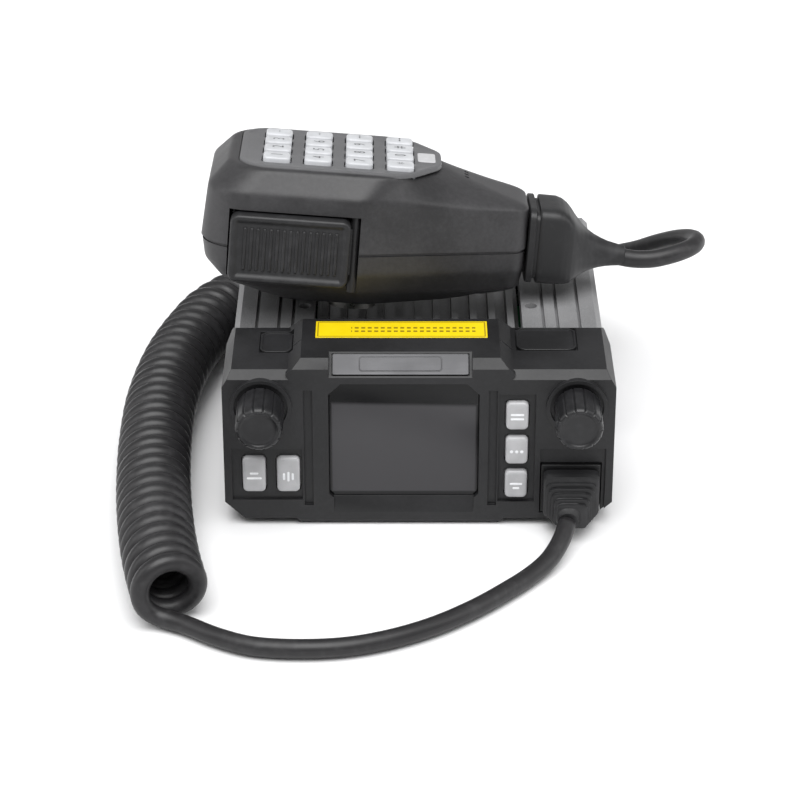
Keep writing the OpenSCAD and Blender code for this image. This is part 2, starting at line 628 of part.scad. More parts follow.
module mic_plug() color("#17181a") {
    box([jack_x - 5.8, jack_x + 5.8], [-57.3, -46.5], [7.1, 13.9]);
    hull() {
        box([jack_x - 6.6, jack_x + 6.6], [-60.5, face_y - 0.2], [4.4, 16.2]);
        box([jack_x - 5.4, jack_x + 5.4], [-63.5, -60], [3.6, 14.6]);
    }
    hull() {
        box([jack_x - 4.6, jack_x + 4.2], [-63.6, -63.2], [3.6, 12.4]);
        translate([37.3, -68.3, 7.05]) rotate([72, 0, -18]) cylinder(r = 3, h = 0.3, $fn = 32);
    }
}

module plug_lead() color("#141517") swept_tube(plug_route, cord_r, 10);
module curly_cord() color("#141517") swept_tube(coil_route, coil_r, 12);
module mic_lead() color("#141517") swept_tube(mic_route, cord_r, 10);

chassis();
bottom_cover();
front_panel();
screen_window();
screen_module();
name_plate();
heat_label();
panel_clips();
left_knob();
volume_pot();
right_knob();
channel_encoder();
for (i = [0:1])
    front_key(left_keys[i], left_key_z, left_key_size);
for (i = [0:2])
    front_key(right_key_x, right_keys[i], right_key_size);
key_mat();
mic_jack();
front_board();
main_board();
speaker();
fan_frame();
fan_rotor();
fan_guard();
antenna_socket();
power_inlet();
speaker_jack();
casing_screws();
mic_front_shell();
mic_back_shell();
keypad_plate();
for (n = [1:16])
    mic_key(n);
mic_key_mat();
mic_board();
ptt_button();
mic_capsule();
hanger_button();
mic_screws();
mic_boot();
mic_plug();
plug_lead();
curly_cord();
mic_lead();
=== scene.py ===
import json
import math
import bpy
import bmesh
import numpy as np
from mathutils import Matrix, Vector


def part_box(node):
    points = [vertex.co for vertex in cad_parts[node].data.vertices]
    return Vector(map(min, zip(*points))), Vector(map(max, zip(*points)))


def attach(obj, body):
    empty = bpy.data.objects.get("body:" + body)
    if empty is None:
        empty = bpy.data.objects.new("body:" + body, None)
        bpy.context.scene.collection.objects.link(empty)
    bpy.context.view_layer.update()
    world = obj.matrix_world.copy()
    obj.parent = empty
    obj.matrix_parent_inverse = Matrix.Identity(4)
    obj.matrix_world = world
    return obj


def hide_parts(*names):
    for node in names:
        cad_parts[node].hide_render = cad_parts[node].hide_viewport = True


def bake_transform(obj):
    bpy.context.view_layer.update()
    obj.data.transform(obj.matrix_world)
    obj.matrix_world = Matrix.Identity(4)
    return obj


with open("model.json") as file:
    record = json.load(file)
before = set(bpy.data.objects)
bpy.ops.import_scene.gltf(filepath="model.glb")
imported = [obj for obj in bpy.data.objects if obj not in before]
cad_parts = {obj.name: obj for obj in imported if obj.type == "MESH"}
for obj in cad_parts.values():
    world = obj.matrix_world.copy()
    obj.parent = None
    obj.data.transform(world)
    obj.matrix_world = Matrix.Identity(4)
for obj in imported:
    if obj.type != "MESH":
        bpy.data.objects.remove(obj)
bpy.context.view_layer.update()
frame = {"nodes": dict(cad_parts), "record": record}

# The microphone's own frame: its joint plane is z = 0, its cable end points to +x
micPlace = np.array([-0.015, -0.0034, 0.059])
micTurn = dict(roll=-9.0, pitch=4.5)


def turnMatrix(rollDegrees, pitchDegrees):
    roll, pitch = math.radians(rollDegrees), math.radians(pitchDegrees)
    aboutX = np.array([[1, 0, 0], [0, math.cos(roll), -math.sin(roll)], [0, math.sin(roll), math.cos(roll)]])
    aboutY = np.array([[math.cos(pitch), 0, math.sin(pitch)], [0, 1, 0],
                       [-math.sin(pitch), 0, math.cos(pitch)]])
    return aboutY @ aboutX


micAxes = turnMatrix(micTurn["roll"], micTurn["pitch"])


def fromMic(points):
    # microphone millimetres to frame metres
    return micPlace + (np.asarray(points, float) * 0.001) @ micAxes.T


# The camera stands in front, above the radio, and looks down at it
cameraSet = dict(place=(-0.00472, -0.6738, 0.36385), pitch=28.0, lens=126.0)
cameraData = bpy.data.cameras.new("camera")
cameraData.lens = cameraSet["lens"]
cameraData.sensor_width = 36.0
cameraData.clip_start, cameraData.clip_end = 0.05, 20.0
camera = bpy.data.objects.new("camera", cameraData)
camera.location = cameraSet["place"]
camera.rotation_euler = (math.radians(90 - cameraSet["pitch"]), 0, 0)
bpy.context.scene.collection.objects.link(camera)
bpy.context.scene.camera = camera
print("camera placed")


def linkMesh(name, mesh):
    piece = bpy.data.objects.new(name, mesh)
    bpy.context.scene.collection.objects.link(piece)
    return piece


def gridPiece(name, points, closeU=False, closeV=True, capStart=False, capEnd=False):
    # Quads over points[u, v]; an end row is closed by a fan to its own middle
    rows, columns = points.shape[:2]
    index = np.arange(rows * columns).reshape(rows, columns)
    nextRow = np.roll(index, -1, axis=0)
    nextColumn = np.roll(index, -1, axis=1)
    nextBoth = np.roll(nextRow, -1, axis=1)
    quads = np.stack([index, nextRow, nextBoth, nextColumn], axis=-1)
    quads = quads[: rows if closeU else rows - 1, : columns if closeV else columns - 1].reshape(-1, 4)
    vertices = points.reshape(-1, 3)
    faces = quads.tolist()
    for row, wanted, flip in ((0, capStart, False), (rows - 1, capEnd, True)):
        if wanted:
            middle = len(vertices)
            vertices = np.vstack([vertices, points[row].mean(axis=0)])
            ring = index[row]
            after = np.roll(ring, -1)
            fan = np.stack([np.full(columns, middle), ring, after], axis=-1)
            faces += (fan[:, ::-1] if flip else fan).tolist()
    mesh = bpy.data.meshes.new(name)
    mesh.from_pydata(vertices.tolist(), [], faces)
    mesh.validate()
    mesh.shade_smooth()
    return linkMesh(name, mesh)


def faceOutwards(piece):
    shape = bmesh.new()
    shape.from_mesh(piece.data)
    bmesh.ops.recalc_face_normals(shape, faces=shape.faces[:])
    shape.to_mesh(piece.data)
    shape.free()


def cut(piece, *tools):
    # Takes the tools' solids out of the piece
    for tool in tools:
        modifier = piece.modifiers.new("cut", "BOOLEAN")
        modifier.operation = "DIFFERENCE"
        modifier.solver = "MANIFOLD"
        modifier.object = tool
    applyModifiers(piece)
    for tool in tools:
        bpy.data.objects.remove(tool)
    return piece


def applyModifiers(piece):
    evaluated = piece.evaluated_get(bpy.context.evaluated_depsgraph_get())
    mesh = bpy.data.meshes.new_from_object(evaluated)
    piece.modifiers.clear()
    piece.data = mesh


def smoothByAngle(piece, degrees=35):
    piece.data.shade_smooth()
    piece.data.set_sharp_from_angle(angle=math.radians(degrees))


def softEdges(piece, width, segments=2, degrees=28):
    bevel = piece.modifiers.new("edges", "BEVEL")
    bevel.width = width
    bevel.segments = segments
    bevel.limit_method = "ANGLE"
    bevel.angle_limit = math.radians(degrees)
    bevel.use_clamp_overlap = True
    bevel.harden_normals = True
    applyModifiers(piece)


def softened(node, width, segments=2, degrees=28):
    # A copy of a CAD node with its loose triangles merged, its flats joined and its edges rounded
    piece = linkMesh(node + "_made", frame["nodes"][node].data.copy())
    shape = bmesh.new()
    shape.from_mesh(piece.data)
    bmesh.ops.remove_doubles(shape, verts=shape.verts[:], dist=2e-6)
    bmesh.ops.dissolve_limit(shape, angle_limit=math.radians(0.6), verts=shape.verts[:], edges=shape.edges[:])
    shape.to_mesh(piece.data)
    shape.free()
    piece.data.materials.clear()
    smoothByAngle(piece, degrees)
    if width:
        softEdges(piece, width, segments, degrees)
    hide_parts(node)
    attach(piece, bodyOf[node])
    return piece


bodyOf = {node: body for body, nodes in frame["record"]["behaviour"]["bodies"].items() for node in nodes}


def claim(piece, body, slotName, material, *replacedNodes):
    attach(piece, body)
    if replacedNodes:
        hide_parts(*replacedNodes)
    piece.data.materials.clear()
    piece.data.materials.append(material)
    return piece


def joined(name, pieces):
    # One mesh from several, all in the frame's own place
    shape = bmesh.new()
    for piece in pieces:
        shape.from_mesh(piece.data)
        bpy.data.objects.remove(piece)
    mesh = bpy.data.meshes.new(name)
    shape.to_mesh(mesh)
    shape.free()
    mesh.shade_smooth()
    return linkMesh(name, mesh)


class Wire:
    # A socket's value, which sums and products can be written with

    def __init__(self, tree, socket):
        self.tree = tree
        self.socket = socket

    def node(self, kind, settings, inputs, output=0):
        # Any node: its settings first, then the values or wires of its sockets
        made = self.tree.nodes.new("ShaderNode" + kind)
        for key, value in settings.items():
            if key == "stops":
                ramp = made.color_ramp
                while len(ramp.elements) < len(value):
                    ramp.elements.new(0.5)
                for element, (place, colour) in zip(ramp.elements, value):
                    element.position = place
                    element.color = (*colour, 1.0) if len(colour) == 3 else colour
            else:
                setattr(made, key, value)
        for key, value in inputs.items():
            target = made.inputs[key]
            if isinstance(value, Wire):
                self.tree.links.new(value.socket, target)
            else:
                target.default_value = value
        return Wire(self.tree, made.outputs[output])

    def maths(self, operation, *values):
        return self.node("Math", dict(operation=operation), dict(enumerate(values)))

    def __add__(self, other):
        return self.maths("ADD", self, other)

    __radd__ = __add__

    def __sub__(self, other):
        return self.maths("SUBTRACT", self, other)

    def __rsub__(self, other):
        return self.maths("SUBTRACT", other, self)

    def __mul__(self, other):
        return self.maths("MULTIPLY", self, other)

    __rmul__ = __mul__

    def __gt__(self, other):
        return self.maths("GREATER_THAN", self, other)

    def __lt__(self, other):
        return self.maths("LESS_THAN", self, other)

    def away(self, place):
        # distance from a value
        return self.maths("ABSOLUTE", self - place)

    def most(self, other):
        return self.maths("MAXIMUM", self, other)

    def fade(self, low, high, start=0.0, end=1.0):
        # smooth step from start at low to end at high
        return self.node("MapRange", dict(interpolation_type="SMOOTHSTEP", clamp=True),
                         {"Value": self, "From Min": low, "From Max": high, "To Min": start, "To Max": end})

    def blendColours(self, first, second):
        # self is how much of the second colour shows
        colours = [(*c, 1.0) if isinstance(c, tuple) and len(c) == 3 else c for c in (first, second)]
        return self.node("Mix", dict(data_type="RGBA"), {0: self, 6: colours[0], 7: colours[1]}, 2)


class Paint:
    # One material with its surface shader

    def __init__(self, name, specularIorLevel=0.38, **fixed):
        self.material = bpy.data.materials.new(name)
        self.material.use_nodes = True
        self.tree = self.material.node_tree
        self.shader = self.tree.nodes["Principled BSDF"]
        self.origin = Wire(self.tree, None)
        self.give(specularIorLevel=specularIorLevel, **fixed)

    def node(self, kind, settings, inputs, output=0):
        return self.origin.node(kind, settings, inputs, output)

    def give(self, **values):
        # camelCase names stand for the shader's sockets: baseColor is Base Color
        for key, value in values.items():
            words = "".join(" " + c if c.isupper() else c for c in key).title().replace("Ior", "IOR")
            target = self.shader.inputs[words]
            if isinstance(value, Wire):
                self.tree.links.new(value.socket, target)
            else:
                target.default_value = (*value, 1.0) if target.type == "RGBA" else value
        return self.material

    def place(self, scale=(1, 1, 1)):
        # where on the piece, in metres
        here = self.node("TexCoord", {}, {}, 3)
        return here if scale == (1, 1, 1) else self.node("Mapping", {}, {"Vector": here, "Scale": scale})

    def axis(self, vector, letter):
        return self.node("SeparateXYZ", {}, {0: vector}, "XYZ".index(letter))

    def noise(self, scale, detail=3.0, roughness=0.55, vector=None):
        return self.node("TexNoise", {}, {"Vector": vector or self.place(), "Scale": scale, "Detail": detail,
                                          "Roughness": roughness})

    def cells(self, scale):
        return self.node("TexVoronoi", {}, {"Vector": self.place(), "Scale": scale})

    def bump(self, height, strength, distance):
        return self.node("Bump", {}, {"Strength": strength, "Distance": distance, "Height": height})


def mouldedPlastic(name, colour, roughness, grain=0.00003, grainScale=5200.0, variation=0.35, sheen=0.0):
    # Spark-eroded mould texture: fine pits, slow patches of shine, faint dust in the colour
    paint = Paint(name)
    patches = paint.noise(38.0, 4.0)
    pits = paint.noise(grainScale, 2.0, 0.6)
    specks = paint.noise(900.0, 3.0, 0.7)
    dark = tuple(c * (1 - variation) for c in colour)
    light = tuple(min(1.0, c * (1 + variation)) for c in colour)
    tone = (patches * 0.7 + specks * 0.3).fade(0.35, 0.68)
    paint.give(baseColor=tone.blendColours(dark, light),
               roughness=patches.fade(0.3, 0.7, roughness - 0.05, roughness + 0.07) + (pits - 0.5) * 0.08,
               normal=paint.bump(pits, 0.55, grain), sheenWeight=sheen, sheenRoughness=0.5)
    return paint.material


def powderCoat(name, colour, roughness, peel=0.00006):
    # Orange-peel ripple under a satin skin, with fine dust and slightly rubbed patches
    paint = Paint(name)
    ripple = paint.noise(1300.0, 2.0, 0.45)
    specks = paint.cells(4200.0)
    patches = paint.noise(24.0, 4.0)
    dark = tuple(c * 0.72 for c in colour)
    light = tuple(min(1.0, c * 1.3) for c in colour)
    paint.give(baseColor=(patches * 0.75 + specks * 0.3).fade(0.3, 0.8).blendColours(dark, light),
               roughness=patches.fade(0.3, 0.7, roughness - 0.06, roughness + 0.08),
               metallic=0.25,
               normal=paint.bump(ripple * 0.7 + specks * 0.3, 0.5, peel))
    return paint.material


def softRubber(name, colour, roughness, grainScale=3000.0, strength=0.4):
    # Matt skin with faint pits and a little dust in broad patches
    paint = Paint(name)
    patches = paint.noise(55.0, 5.0, 0.6)
    pits = paint.noise(grainScale, 3.0, 0.65)
    dust = (paint.noise(420.0, 2.0) * patches).fade(0.22, 0.42)
    light = tuple(min(1.0, c * 1.9 + 0.004) for c in colour)
    paint.give(baseColor=(dust * 0.6).blendColours(colour, light),
               roughness=patches.fade(0.3, 0.7, roughness - 0.05, roughness + 0.08),
               normal=paint.bump(pits, strength, 0.00003))
    return paint.material


def plainMetal(name, colour, roughness, brushed=(1, 1, 1), wear=0.25):
    # Plated or zinc metal: brush lines, cloudy plating, small dark spots
    paint = Paint(name)
    lines = paint.noise(900.0, 3.0, 0.6, paint.place(scale=brushed))
    clouds = paint.noise(70.0, 4.0)
    dark = tuple(c * (1 - wear) for c in colour)
    paint.give(baseColor=(clouds * 0.6 + lines * 0.4).fade(0.3, 0.65).blendColours(dark, colour),
               roughness=clouds.fade(0.3, 0.7, roughness - 0.06, roughness + 0.1) + (lines - 0.5) * 0.1,
               metallic=1.0, normal=paint.bump(lines, 0.25, 0.00002))
    return paint.material


def printedBoard(name):
    # Green solder mask: copper tracks under it as paler lines, tinned pads as dots
    paint = Paint(name)
    cells = paint.cells(330.0)
    black, white = (0.0, 0.0, 0.0, 1.0), (1.0, 1.0, 1.0, 1.0)
    tracks = paint.node("TexBrick", dict(offset=0.5),
                        {"Vector": paint.place(), "Scale": 260.0, "Mortar Size": 0.09,
                         "Color1": black, "Color2": black, "Mortar": white}, 1)
    mask = tracks.blendColours((0.008, 0.09, 0.03), (0.02, 0.19, 0.07))
    pads = cells < 0.16
    paint.give(baseColor=pads.blendColours(mask, (0.6, 0.6, 0.57)),
               roughness=cells.fade(0.1, 0.5, 0.32, 0.42),
               metallic=pads * 0.8, normal=paint.bump(tracks + pads, 0.4, 0.00004))
    return paint.material


def darkGlass(name, low, high, bandLow, middle, halfWidth):
    # Smoked window: a black printed border round a charcoal display; the band at the top is deeper and slants
    # across, print with a painted shadow and reflection on it, and the display's paling upwards is a painted
    # reflection
    paint = Paint(name, 0.3)
    here = paint.place()
    z, x = paint.axis(here, "Z"), paint.axis(here, "X")
    smudge = paint.noise(60.0, 4.0, 0.6)
    # painted reflection: this slant tilts the top band's lower edge across the window
    reflectionSlant = x * 0.02
    topBandPrintAndShade = (z + reflectionSlant).fade(bandLow - 0.0012, bandLow + 0.0002)
    foot = z.fade(low + 0.0007, low + 0.0013, 1.0, 0.0)
    side = x.away(middle).fade(halfWidth - 0.0009, halfWidth - 0.0003)
    # the border mask holds the printed border and, in its deep top band, a painted shadow and reflection
    borderPrintAndShade = topBandPrintAndShade.most(foot).most(side)
    # painted reflection: the display pales upwards
    displayWithPaintedReflection = z.fade(low, high).blendColours((0.040, 0.039, 0.042), (0.052, 0.051, 0.054))
    paint.give(baseColor=borderPrintAndShade.blendColours(displayWithPaintedReflection, (0.0035, 0.0035, 0.004)),
               roughness=smudge.fade(0.35, 0.7, 0.16, 0.24))
    return paint.material


def labelFilm(name, middleX, middleY, halfX, halfY):
    # Yellow printed film: thin dark border line and rows of plain dashes at the left, warm patches in the
    # yellow
    paint = Paint(name, coatWeight=0.35, coatRoughness=0.2)
    here = paint.place()
    x, y = paint.axis(here, "X") - middleX, paint.axis(here, "Y") - middleY
    fibres = paint.noise(500.0, 4.0, 0.6)
    warm = paint.noise(30.0, 3.0)
    across, along = x.away(0.0), y.away(0.0)
    edge = across.fade(halfX - 0.0009, halfX - 0.0006).most(along.fade(halfY - 0.0009, halfY - 0.0006))
    line = edge * (1 - across.fade(halfX - 0.0006, halfX - 0.0003)) * (
        1 - along.fade(halfY - 0.0006, halfY - 0.0003))
    dash = paint.node("TexWave", dict(wave_type="BANDS", bands_direction="X", wave_profile="SIN"),
                      {"Vector": here, "Scale": 190.0, "Distortion": 0.0}, 1) > 0.32
    rowA = y.away(0.0008).fade(0.00035, 0.0005, 1.0, 0.0)
    rowB = y.away(-0.0011).fade(0.00035, 0.0005, 1.0, 0.0)
    field = (x > -halfX + 0.009) * (x < halfX - 0.003)
    ink = line.most(rowA.most(rowB) * dash * field)
    yellow = (warm * 0.7 + fibres * 0.3).fade(0.3, 0.7).blendColours((0.66, 0.49, 0.003), (0.73, 0.56, 0.005))
    paint.give(baseColor=(ink * 0.8).blendColours(yellow, (0.10, 0.05, 0.01)),
               roughness=fibres.fade(0.3, 0.7, 0.30, 0.42), normal=paint.bump(fibres, 0.2, 0.00003))
    return paint.material


def translucentKey(name, colour, roughness, haze):
    # Silicone-backed hard key: pale body with faint flow marks in its tone, and fine pits
    paint = Paint(name, subsurfaceWeight=haze, subsurfaceRadius=(0.001, 0.001, 0.001), subsurfaceScale=0.6,
                  coatWeight=0.25, coatRoughness=0.25)
    flow = paint.noise(240.0, 4.0, 0.55)
    pits = paint.noise(4600.0, 2.0)
    dark = tuple(c * 0.86 for c in colour)
    paint.give(baseColor=flow.fade(0.3, 0.7).blendColours(dark, colour),
               roughness=flow.fade(0.3, 0.7, roughness - 0.04, roughness + 0.06),
               normal=paint.bump(pits, 0.3, 0.00002))
    return paint.material


panelBlack = mouldedPlastic("panelBlack", (0.0115, 0.0115, 0.0125), 0.46)
micBlack = mouldedPlastic("micBlack", (0.029, 0.0285, 0.030), 0.43, grain=0.000035, grainScale=4300.0)
jackBlack = mouldedPlastic("jackBlack", (0.006, 0.006, 0.0065), 0.42)
fanBlack = mouldedPlastic("fanBlack", (0.008, 0.008, 0.0085), 0.40)
clipBlack = mouldedPlastic("clipBlack", (0.013, 0.013, 0.014), 0.44)
castingGrey = powderCoat("castingGrey", (0.23, 0.23, 0.235), 0.40)
coverGrey = powderCoat("coverGrey", (0.03, 0.03, 0.032), 0.45)
knobBlack = softRubber("knobBlack", (0.0095, 0.0095, 0.0105), 0.36)
pushBlack = softRubber("pushBlack", (0.0125, 0.0125, 0.0135), 0.44)
bootBlack = softRubber("bootBlack", (0.0135, 0.0135, 0.0145), 0.47)
cordBlack = softRubber("cordBlack", (0.0145, 0.014, 0.015), 0.40, grainScale=2600.0, strength=0.3)
matGrey = softRubber("matGrey", (0.11, 0.11, 0.12), 0.6)
plateGrey = plainMetal("plateGrey", (0.078, 0.078, 0.081), 0.42, brushed=(0.08, 1, 1))
# panel plastic painted lighter: a painted highlight for the squares beside the name plate
squareGrey = mouldedPlastic("squareGrey", (0.05, 0.05, 0.052), 0.34)
nickel = plainMetal("nickel", (0.66, 0.65, 0.62), 0.26)
brightSteel = plainMetal("brightSteel", (0.56, 0.57, 0.58), 0.22)
blackZinc = plainMetal("blackZinc", (0.17, 0.17, 0.18), 0.38)
potMetal = plainMetal("potMetal", (0.45, 0.45, 0.46), 0.45)
boardGreen = printedBoard("boardGreen")
frontKeyGrey = translucentKey("frontKeyGrey", (0.42, 0.42, 0.43), 0.42, 0.1)
micKeyPale = translucentKey("micKeyPale", (0.50, 0.51, 0.53), 0.42, 0.15)
inkWhite = softRubber("inkWhite", (0.75, 0.76, 0.78), 0.5)
inkDark = softRubber("inkDark", (0.06, 0.06, 0.065), 0.5)
print("materials made")


# The cord: plug lead, curly part and microphone lead in one
cordSet = dict(radius=2.35, coilRadius=9.6, turns=49.4, ringsPerTurn=30, sides=14,
               easeReach=7.0, easePasses=12)

# The routes are the design's own, in millimetres
plugRoute = [(37.2, -68.5, 7), (35.4, -74, 5.2), (32.2, -80, 3.4), (27.5, -86, 2.5), (21, -93.5, 2.5),
             (13, -101.5, 2.5), (3.5, -109, 2.5), (-6.5, -114.5, 2.5), (-17, -118, 2.5), (-28, -119, 2.5),
             (-39, -118, 2.5), (-47, -114.6, 2.5), (-53.5, -110.3, 2.5), (-58.3, -106.6, 2.6)]
coilRoute = [(-59.5, -105.5, 9.4), (-62.5, -92, 9.4), (-65, -77, 9.4), (-67, -60, 9.4), (-68.3, -43, 9.4),
             (-69, -25, 9.4), (-68.8, -7, 9.4), (-66.6, 13, 9.4), (-62.6, 30, 9.4), (-57.2, 44.5, 9.4),
             (-47.5, 56, 9.4), (-34, 62.5, 9.4), (-18, 64.5, 9.4), (-2, 65, 9.4), (14, 64.5, 9.4),
             (26, 63.5, 9.4)]
micRoute = [(28.3, 63.2, 18.4), (32.2, 60.6, 19.9), (37.3, 59.2, 19.6), (42.8, 56.9, 20.4),
            (47.6, 52.4, 23.4), (52, 46, 27.6), (56.5, 39.5, 31.5), (61.1, 33, 35.7), (65.5, 27, 40.2),
            (69.9, 20.5, 44.5), (73.3, 14, 47.8), (74.6, 8.5, 49.5), (73.6, 3.8, 50.3), (71.1, 0.2, 50.6),
            (67.2, -2.2, 50.3), (62, -3.8, 49.8), (57, -4.1, 49.9), (53, -4, 50.6), (46.6, -3.8, 51.8)]


def lengths(points):
    return np.concatenate([[0], np.cumsum(np.linalg.norm(np.diff(points, axis=0), axis=1))])


def throughPoints(points, count):
    # Catmull-Rom curve: each stretch is the cubic that leaves a point parallel to the line
    # between that point's neighbours; the result is then spaced evenly
    points = np.asarray(points, float)
    ends = np.vstack([2 * points[0] - points[1], points, 2 * points[-1] - points[-2]])
    span = np.arange(len(points) - 1)
    t = np.linspace(0, 1, 24, endpoint=False)[None, :, None]
    before, a, b, after = (ends[span + k][:, None, :] for k in range(4))
    curve = 0.5 * (2 * a + (b - before) * t + (2 * before - 5 * a + 4 * b - after) * t ** 2
                   + (3 * a - before - 3 * b + after) * t ** 3)
    curve = np.vstack([curve.reshape(-1, 3), points[-1]])
    along = lengths(curve)
    at = np.linspace(0, along[-1], count)
    return np.stack([np.interp(at, along, curve[:, k]) for k in range(3)], axis=1)


def unit(vectors):
    return vectors / np.linalg.norm(vectors, axis=-1, keepdims=True)


def helixRound(axisPoints, radius, turns, perTurn):
    # Round the middle line at a fixed radius, from its underside up the left and over the top
    count = round(turns * perTurn) + 1
    axis = throughPoints(axisPoints, count)
    ahead = unit(np.gradient(axis, axis=0))
    right = unit(np.cross(ahead, [0, 0, 1]))
    above = np.cross(right, ahead)
    angle = -np.pi / 2 - 2 * np.pi * np.arange(count) / perTurn
    return axis + radius * (np.cos(angle)[:, None] * right + np.sin(angle)[:, None] * above)


def easedNear(line, places, reach, passes):
    # Each pass moves a point toward the middle of its two neighbours, most at the places named
    # and less with distance from them, so that the joins of the stretches have no kink
    gaps = [np.linalg.norm(line - place, axis=1) for place in places]
    pull = 0.5 * np.clip(sum(np.exp(-(gap / reach) ** 4) for gap in gaps), 0, 1)[:, None]
    for _ in range(passes):
        line[1:-1] += pull[1:-1] * (0.5 * (line[:-2] + line[2:]) - line[1:-1])
    return line


def tubeAlong(name, line, radius, sides):
    # A ring square to the line at each point; each ring's frame is the last one's, turned as
    # little as possible
    ahead = unit(np.gradient(line, axis=0))
    side = np.empty_like(line)
    side[0] = unit(np.cross(ahead[0], [0, 0, 1]))
    for i in range(1, len(line)):
        side[i] = side[i - 1] - ahead[i] * (side[i - 1] @ ahead[i])
        side[i] /= np.linalg.norm(side[i])
    other = np.cross(ahead, side)
    angle = np.linspace(0, 2 * np.pi, sides, endpoint=False)
    ring = np.cos(angle)[None, :, None] * side[:, None] + np.sin(angle)[None, :, None] * other[:, None]
    return gridPiece(name, line[:, None] + ring * np.broadcast_to(radius, len(line))[:, None, None],
                     capStart=True, capEnd=True)


helix = helixRound(coilRoute, cordSet["coilRadius"] - cordSet["radius"], cordSet["turns"],
                   cordSet["ringsPerTurn"])
firstLead = throughPoints(plugRoute + [tuple(helix[0]), tuple(helix[8])], 130)
firstLead = firstLead[lengths(firstLead) < lengths(np.array(plugRoute))[-1] - 1.0]
lastLead = throughPoints([tuple(helix[-5]), tuple(helix[-1])] + micRoute, 110)
lastLead = lastLead[lengths(lastLead) > np.linalg.norm(helix[-1] - helix[-5]) + 1.5]
cordLine = throughPoints(np.vstack([firstLead[::2], helix[2::3], lastLead[::2], lastLead[-1:]]), 2100)
cordLine = easedNear(cordLine, [firstLead[-1], lastLead[0]], cordSet["easeReach"], cordSet["easePasses"])
cordLine *= 0.001
cordLength = float(lengths(cordLine)[-1])
cord = tubeAlong("cord", cordLine, cordSet["radius"] * 0.001, cordSet["sides"])
faceOutwards(cord)
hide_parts("plug_lead", "curly_cord", "mic_lead")
cord.data.materials.append(cordBlack)
print("cord made,", round(cordLength, 3), "m long")


# Axes for surfaces that face up, and for those on the radio's front
flat = dict(right=np.array([1.0, 0, 0]), up=np.array([0, 1.0, 0]), out=np.array([0, 0, 1.0]))
front = dict(right=np.array([1.0, 0, 0]), up=np.array([0, 0, 1.0]), out=np.array([0, -1.0, 0]))


def cornerRing(halfSize, radius, inset, count):
    # Rounded rectangle by its outward angle: the corner's centre plus the corner's radius along that angle
    angle = (np.arange(count) + 0.5) * 2 * np.pi / count
    direction = np.stack([np.cos(angle), np.sin(angle)], axis=1)
    small = max(radius - inset, 0.12 * radius)
    return np.sign(direction) * (np.array(halfSize) - inset - small) + small * direction


def pillow(name, centre, halfSize, radius, rows, axes, place, count=64):
    # Rings of one rounded rectangle: each row says how far its ring is drawn in and how far it is
    # lifted along the outward axis; one more row, just inside the last, keeps the cap flat
    rings = []
    lastInset, lastLift = rows[-1]
    for inset, lift in [*rows, (lastInset + 0.06, lastLift)]:
        ring = cornerRing(halfSize, radius, inset, count)
        rings.append(np.asarray(centre) + ring[:, :1] * axes["right"] + ring[:, 1:] * axes["up"]
                     + lift * axes["out"])
    piece = gridPiece(name, place(np.array(rings)), capStart=True, capEnd=True)
    faceOutwards(piece)
    return piece


def fromRadio(points):
    # radio millimetres to frame metres
    return np.asarray(points, float) * 0.001


def bar(name, centre, halfSize, axes, place, lift=0.12):
    # a small raised mark with round ends
    radius = min(halfSize) * 0.98
    rows = [(0, -0.25), (0, lift * 0.5), (radius * 0.25, lift * 0.9), (radius * 0.6, lift)]
    return pillow(name, centre, halfSize, radius, rows, axes, place, 24)


def turned(name, profile, centre, axes, place, count=64, shape=None):
    # A profile of (radius, lift) carried round an axis; shape scales each point's radius by its angle
    angle = np.arange(count) * 2 * np.pi / count
    ring = np.cos(angle)[:, None] * axes["right"] + np.sin(angle)[:, None] * axes["up"]
    profile = np.asarray(profile, float)
    factor = np.ones((len(profile), count)) if shape is None else shape(profile, angle)
    points = (np.asarray(centre) + profile[:, None, 1:] * axes["out"]
              + (profile[:, :1] * factor)[..., None] * ring)
    piece = gridPiece(name, place(points), capStart=True, capEnd=True)
    faceOutwards(piece)
    return piece


def keepNode(node, material):
    # a CAD node that already has its shape takes its finish
    piece = frame["nodes"][node]
    piece.data.materials.clear()
    piece.data.materials.append(material)


def softenedIn(node, width, material, segments=2):
    softened(node, width, segments).data.materials.append(material)


softenedIn("front_panel", 0.00032, panelBlack, 3)
for node, width, material in (("chassis", 0.00022, castingGrey), ("bottom_cover", 0.0002, coverGrey),
                              ("mic_jack", 0.0002, jackBlack), ("fan_frame", 0.0003, fanBlack),
                              ("fan_rotor", 0.00012, fanBlack), ("fan_guard", 0.0002, brightSteel),
                              ("antenna_socket", 0.0002, nickel), ("power_inlet", 0.00025, jackBlack),
                              ("speaker_jack", 0.0002, nickel), ("casing_screws", 0.00015, blackZinc),
                              ("volume_pot", 0.0002, potMetal), ("channel_encoder", 0.0002, potMetal)):
    softenedIn(node, width, material)
for node, material in (("key_mat", matGrey), ("front_board", boardGreen), ("main_board", boardGreen),
                       ("speaker", fanBlack), ("screen_module", jackBlack), ("mic_key_mat", matGrey),
                       ("mic_board", boardGreen), ("mic_capsule", nickel), ("mic_screws", blackZinc),
                       ("hanger_button", nickel)):
    keepNode(node, material)

# the window's finish paints a shadow and reflection into the top band of its printed border, and a reflection
# gradient over the display
windowLow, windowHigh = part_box("screen_window")
softenedIn("screen_window", 0.00012, darkGlass(
    "smokedWindow", windowLow.z, windowHigh.z, windowHigh.z - 0.0058,
    (windowLow.x + windowHigh.x) / 2, (windowHigh.x - windowLow.x) / 2))

labelLow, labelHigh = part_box("heat_label")
softenedIn("heat_label", 0.00008, labelFilm(
    "labelYellow", (labelLow.x + labelHigh.x) / 2, (labelLow.y + labelHigh.y) / 2,
    (labelHigh.x - labelLow.x) / 2, (labelHigh.y - labelLow.y) / 2))

